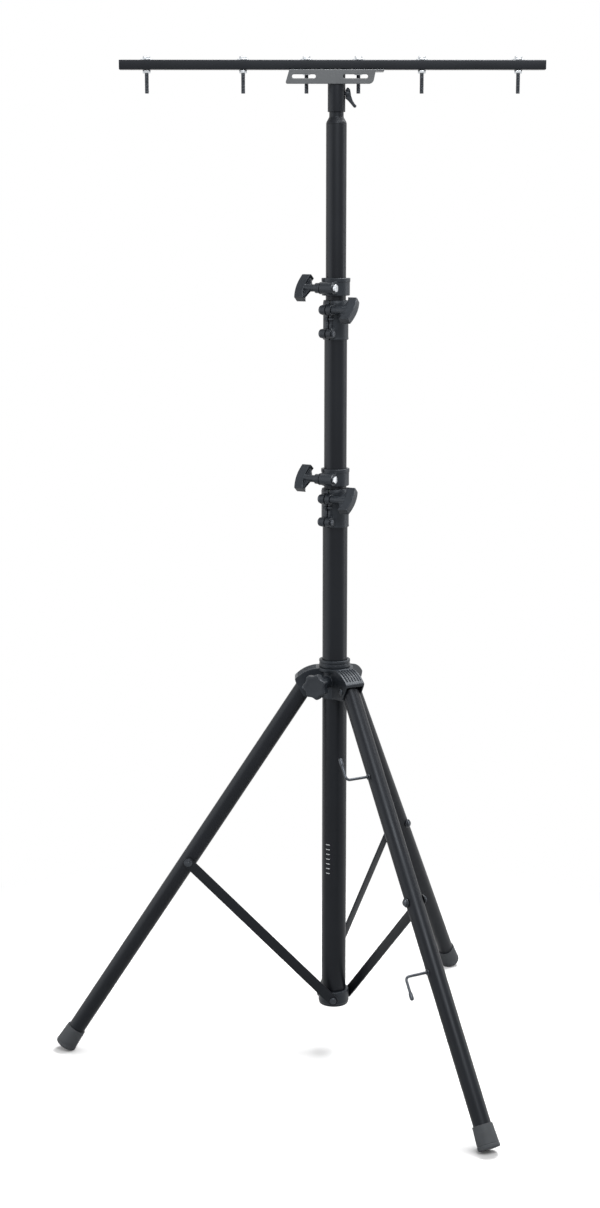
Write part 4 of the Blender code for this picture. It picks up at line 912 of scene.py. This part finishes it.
LEVER_Z, LEVER_WIDTH = 1.958, 0.01
lever_at = POLE @ move(0, 0, LEVER_Z)
lever_line = [
    (0.0173, 0.0072), (0.0205, 0.0114), (0.0235, 0.0108), (0.0262, 0.0075), (0.0272, 0.002),
    (0.0282, -0.0045), (0.031, -0.0125), (0.0352, -0.0195), *arc((0.0353, -0.0234), 0.0032, 50, -150, 12),
    (0.0275, -0.019), (0.0225, -0.0135), (0.0173, -0.0092),
]
lever_head = lathe([(0, 0.027, 0), (0.0072, 0.0255, 0.001), (0.0082, 0.0195, 0.001), (0.0074, 0.0173, 0),
                    (0, 0.0173, 0)], lever_at @ ALONG_X, around=48)
lever_arm = upright(lever_line, LEVER_WIDTH / 2, lever_at, edge=0.0016)
lever = moulded([lever_arm, lever_head], [], skin=0.0004, rounds=5, keep=0.4)
fit_piece("adapter_lever_moulding", lever, nylon, "lever", "adapter_lever", sharp=180)
screw = disc(0.003, 0.018, 0.0147, lever_at @ ALONG_X, 0, 0.0003, around=32)
fit_piece("adapter_lever_screw", screw, black_oxide, "lever")

# ADAPTER BRACKET
# Angle folded from 3 mm steel sheet and painted dark grey. Two slots in its front plate take lamps or
# accessories, and the bar is bolted to its top.

PLATE_THICK = 0.003
low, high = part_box("adapter_bracket")
BRACKET_TOP = high.z
PLATE_FRONT = low.y
PLATE_LOW = low.z
PLATE_LEFT = low.x - POLE.translation.x
PLATE_RIGHT = 0.0745
FLANGE_HALF = 0.091
SLOT_Z, SLOT_HIGH = 1.98905, 0.0073

# Sprayed enamel: dark neutral grey, satin, a little uneven in tone, with a fine grain.
grey_enamel = mottled("sprayed_grey_enamel", "474a4d", "585b5e", 30.0, 4.0, {"Roughness": 0.42},
                      grain=(800.0, 1.0, 0.15, 0.0002))

outline = [(FLANGE_HALF, BRACKET_TOP), (-FLANGE_HALF, BRACKET_TOP)]
outline += arc((PLATE_LEFT + 0.0033, PLATE_LOW + 0.0033), 0.0033, 180, 270, 6)
outline += arc((PLATE_RIGHT - 0.013, PLATE_LOW + 0.01), 0.01, -90, -15, 10)
outline += [(PLATE_RIGHT, BRACKET_TOP - PLATE_THICK)]
plate = upright(outline, PLATE_THICK / 2, POLE @ move(0, PLATE_FRONT + PLATE_THICK / 2, 0))
underside = BRACKET_TOP - PLATE_THICK
flange_line = [(PLATE_FRONT, underside), (high.y, underside), (high.y, BRACKET_TOP),
               (PLATE_FRONT, BRACKET_TOP)]
flange = upright(flange_line, FLANGE_HALF, POLE @ spin(math.pi / 2, "Z"))
slots = []
for slot_low, slot_high in ((-0.086, -0.04), (0.012, 0.06)):
    r = SLOT_HIGH / 2
    line = arc((slot_high - r, SLOT_Z), r, -90, 90, 12) + arc((slot_low + r, SLOT_Z), r, 90, 270, 12)
    slots.append(upright(line, 0.01, POLE @ move(0, PLATE_FRONT, 0)))
folded = moulded([plate, flange], slots, skin=0.0006, rounds=2, keep=0.35)
fit_piece("adapter_bracket_folded", folded, grey_enamel, "adapter", "adapter_bracket", sharp=180)
bead = lathe([(SOCKET_R + 0.0002, high.z - 0.0034, 0), (SOCKET_R + 0.0026, high.z - 0.0034, 0.001),
              (SOCKET_R + 0.0002, high.z - 0.0062, 0.001)], POLE, closed=True, around=ROUND)
fit_piece("adapter_weld_bead", bead, powder_coat, "adapter")

# T-BAR AND ITS END CAPS
# Rolled steel box section, 18 by 25 mm and 820 mm long, black powder coated, closed by pushed in caps.

BAR_X, BAR_HALF, BAR_DEEP, BAR_WALL, BAR_ROUND = -0.008, 0.41, 0.0125, 0.0015, 0.0022
CAP_THICK = 0.002
BAR_AXIS = POLE @ move(BAR_X, 0, 0)
ACROSS = spin(math.pi / 2, "Z") @ UPRIGHT
low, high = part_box("t_bar")
BAR_LOW, BAR_HIGH = low.z, high.z


def bar_outline(inset, radius):
    """The bar's rounded section, or one inside it, as points."""
    low_x, low_y, high_x, high_y = inset - BAR_DEEP, BAR_LOW + inset, BAR_DEEP - inset, BAR_HIGH - inset
    centres = ((high_x - radius, high_y - radius), (low_x + radius, high_y - radius),
               (low_x + radius, low_y + radius), (high_x - radius, low_y + radius))
    line = []
    for quarter, centre in enumerate(centres):
        line += arc(centre, radius, 90 * quarter, 90 * quarter + 90, 6)
    return line


bar_half = BAR_HALF - CAP_THICK - FIT
bm = bmesh.new()
loops = []
for end in (-bar_half, bar_half):
    for inset, radius in ((0.0, BAR_ROUND), (BAR_WALL, 0.0009)):
        loops.append([bm.verts.new((end, y, z)) for y, z in bar_outline(inset, radius)])
for first, second in ((0, 2), (2, 3), (3, 1), (1, 0)):
    for i in range(len(loops[0])):
        j = (i + 1) % len(loops[0])
        bm.faces.new((loops[first][i], loops[first][j], loops[second][j], loops[second][i]))
fit_piece("t_bar_section", finished(bm, BAR_AXIS), powder_coat, "adapter", "t_bar")
for name, sign in (("left", -1), ("right", 1)):
    face = bar_outline(0.0, BAR_ROUND)
    plug = bar_outline(0.0019, 0.0008)
    ends = sorted((sign * (bar_half + FIT), sign * BAR_HALF))
    deep = sorted((sign * (bar_half - 0.012), sign * (bar_half + 0.001)))
    cap = joined(slab(face, *ends, BAR_AXIS @ ACROSS, edge=0.0008), slab(plug, *deep, BAR_AXIS @ ACROSS))
    fit_piece(f"t_bar_{name}_end_cap", cap, nylon, "adapter", f"t_bar_cap_{name}")

# BAR BOLTS
# Six M8 bolts through the bar with zinc plated heads, wide washers and nuts, on blackened shanks. Two
# of them also hold the bracket. Their threads are drawn at the real 1.25 mm pitch.

BOLT_END, WASHER_R = 1.958, 0.0115
THREAD_PITCH, THREAD_DEPTH = 0.00125, 0.0005
HEAD_LOW = BAR_HIGH + FIT + 0.0016

head_tree, given = new_geometry("bolt_heads", {"Head": "Object"})
shape = add_node(head_tree, "GeometryNodeObjectInfo", {"Object": given["Head"]})
heads = add_node(head_tree, "GeometryNodeInstanceOnPoints", {
    "Points": given["Geometry"], "Instance": shape.outputs["Geometry"]})
end_geometry(head_tree, heads, zinc)

tree, given = new_geometry("threaded_shanks", {
    "Radius": "Float", "Thread depth": "Float", "Pitch": "Float",
    "Length": "Float", "Low end": "Float"})
core = add_node(tree, "GeometryNodeMeshCylinder", {
    "Vertices": 32, "Radius": given["Radius"], "Depth": given["Length"]})
half_long = add_node(tree, "ShaderNodeMath", {0: given["Length"], 1: 0.5}, operation="MULTIPLY")
middle = add_node(tree, "ShaderNodeMath", {0: half_long, 1: given["Low end"]}, operation="ADD")
core_up = add_node(tree, "ShaderNodeCombineXYZ", {"Z": middle})
core_at = add_node(tree, "GeometryNodeTransform", {"Geometry": core, "Translation": core_up})
thread_long = add_node(tree, "ShaderNodeMath", {0: given["Length"], 1: 0.6}, operation="MULTIPLY")
turns = add_node(tree, "ShaderNodeMath", {0: thread_long, 1: given["Pitch"]}, operation="DIVIDE")
helix = add_node(tree, "GeometryNodeCurveSpiral", {
    "Resolution": 20, "Rotations": turns, "Start Radius": given["Radius"], "End Radius": given["Radius"],
    "Height": thread_long})
crest = add_node(tree, "GeometryNodeCurvePrimitiveCircle", {
    "Resolution": 4, "Radius": given["Thread depth"]})
ridge = add_node(tree, "GeometryNodeCurveToMesh", {
    "Curve": helix, "Profile Curve": crest, "Fill Caps": True})
tip = add_node(tree, "ShaderNodeMath", {0: given["Low end"], 1: given["Thread depth"]}, operation="ADD")
low_end = add_node(tree, "ShaderNodeCombineXYZ", {"Z": tip})
thread = add_node(tree, "GeometryNodeTransform", {"Geometry": ridge, "Translation": low_end})
whole = add_node(tree, "GeometryNodeJoinGeometry")
tree.links.new(core_at.outputs[0], whole.inputs[0])
tree.links.new(thread.outputs[0], whole.inputs[0])
shanks = add_node(tree, "GeometryNodeInstanceOnPoints", {"Points": given["Geometry"], "Instance": whole})
end_geometry(tree, shanks, black_oxide)

for name, offsets, nut_high, replaced in (
    ("bracket_bolt", (-0.05, 0.05), BRACKET_TOP - PLATE_THICK - FIT, ("bar_bolt_3", "bar_bolt_4")),
    ("lamp_bolt", (-0.3575, -0.172, 0.172, 0.3575), BAR_LOW - FIT,
     ("bar_bolt_1", "bar_bolt_2", "bar_bolt_5", "bar_bolt_6")),
):
    up = Matrix.Identity(4)
    head = joined(
        lathe([(0, HEAD_LOW + 0.0055, 0), (0.0045, HEAD_LOW + 0.0055, 0), (0.0052, HEAD_LOW + 0.0048, 0),
               (0.0052, HEAD_LOW + 0.001, 0), (0, HEAD_LOW + 0.001, 0)], up, around=32),
        hex_nut(HEAD_LOW, HEAD_LOW + 0.0053, up),
        lathe([(0.0042, HEAD_LOW, 0.0003), (WASHER_R, HEAD_LOW, 0.0004), (WASHER_R, BAR_HIGH + FIT, 0.0003),
               (0.0042, BAR_HIGH + FIT, 0.0003)], up, closed=True, around=64),
        hex_nut(nut_high - 0.0065, nut_high, up),
    )
    shape = bpy.data.objects.new("head_shape", head)
    points = bpy.data.meshes.new("bolt_places")
    points.from_pydata([(offset, 0, 0) for offset in offsets], [], [])
    row = grown(head_tree, points, {"Head": shape})
    bpy.data.objects.remove(shape)
    row.transform(BAR_AXIS)
    fit_piece(f"{name}_heads", row, zinc, "adapter", *replaced)
    row = grown(tree, points, {
        "Radius": BOLT_R - THREAD_DEPTH, "Thread depth": THREAD_DEPTH, "Pitch": THREAD_PITCH,
        "Length": HEAD_LOW - BOLT_END, "Low end": BOLT_END})
    row.transform(BAR_AXIS)
    fit_piece(f"{name}_shanks", row, black_oxide, "adapter")

# FLOOR, LIGHT AND CAMERA
# A pale studio floor that fades to plain white round the stand, soft boxes left, right, in front and
# above, and the camera where the photograph was taken from, at a standing person's eye level.

FLOOR_R, EYE_LEVEL = 6.0, 1.7222
floor_finish, tree, shader, place = new_finish("pale_studio_floor")
distance = add_node(tree, "ShaderNodeVectorMath", {0: place}, operation="LENGTH")
fade = add_node(tree, "ShaderNodeMapRange", {
    "Value": distance.outputs["Value"], "From Min": 0.55, "From Max": 1.3, "To Min": 0.0,
    "To Max": 1.0}, interpolation_type="SMOOTHSTEP")
rays = add_node(tree, "ShaderNodeLightPath")
seen = add_node(tree, "ShaderNodeMath", {
    0: rays.outputs["Is Camera Ray"], 1: rays.outputs["Is Glossy Ray"]}, operation="MAXIMUM")
white_part = add_node(tree, "ShaderNodeMath", {0: seen, 1: fade}, operation="MULTIPLY")
white = add_node(tree, "ShaderNodeEmission", {"Color": (1, 1, 1, 1), "Strength": 1.0})
mixed = add_node(tree, "ShaderNodeMixShader", {0: white_part, 1: shader.outputs["BSDF"], 2: white})
paper = add_node(tree, "ShaderNodeMix", {"Factor": rays.outputs["Is Camera Ray"]}, data_type="RGBA")
feed(tree, paper, {"A": linear("c8c8c8"), "B": linear("f8f8f8")})
feed(tree, shader, {"Base Color": paper.outputs["Result"], "Roughness": 0.9, "Specular IOR Level": 0.1})
feed(tree, tree.nodes["Material Output"], {"Surface": mixed})
floor_mesh = slab(arc((0, 0), FLOOR_R, 0, 357, 119), -0.02, -0.0002, Matrix.Identity(4))
floor_mesh.materials.append(floor_finish)
placed("studio_floor", floor_mesh)

world = bpy.data.worlds.new("studio")
bpy.context.scene.world = world
world.use_nodes = True
tree = world.node_tree
rays = add_node(tree, "ShaderNodeLightPath")
shiny = add_node(tree, "ShaderNodeMath", {
    0: rays.outputs["Is Glossy Ray"], 1: rays.outputs["Is Transmission Ray"]}, operation="MAXIMUM")
seen = add_node(tree, "ShaderNodeMath", {0: rays.outputs["Is Camera Ray"], 1: shiny}, operation="MAXIMUM")
level = add_node(tree, "ShaderNodeMapRange", {
    "Value": seen, "From Min": 0.0, "From Max": 1.0, "To Min": 0.13, "To Max": 1.0})
feed(tree, tree.nodes["Background"], {"Strength": level, "Color": (1, 1, 1, 1)})

for name, spot, aim, size, power in (
    ("left_softbox", (-2.6, -0.5, 1.7), (0.1, 0, 1.1), (3.0, 3.2), 46),
    ("right_strip", (2.7, 0.4, 1.5), (0.1, 0, 1.0), (0.6, 3.0), 20),
    ("front_softbox", (0.9, -4.6, 4.6), (0.2, -0.2, 0.5), (2.4, 1.8), 220),
    ("top_softbox", (0.9, 0.5, 3.4), (0.1, 0, 0.8), (1.8, 1.8), 140),
):
    lamp = bpy.data.lights.new(name, "AREA")
    lamp.shape = "RECTANGLE"
    lamp.size, lamp.size_y = size
    lamp.energy = power
    lamp_object = placed(name, lamp)
    lamp_object.location = spot
    lamp_object.rotation_euler = (Vector(aim) - Vector(spot)).to_track_quat("-Z", "Y").to_euler()

lens = bpy.data.cameras.new("photograph_view")
lens.sensor_fit = "VERTICAL"
lens.sensor_height = 24.0
lens.lens = 40.04
camera = placed("photograph_view", lens)
camera.location = (0.0065, -4.0017, EYE_LEVEL)
camera.rotation_euler = (math.radians(79.16), 0, math.radians(-0.19))
bpy.context.scene.camera = camera
bpy.context.scene.view_settings.view_transform = "Standard"

bpy.context.view_layer.update()
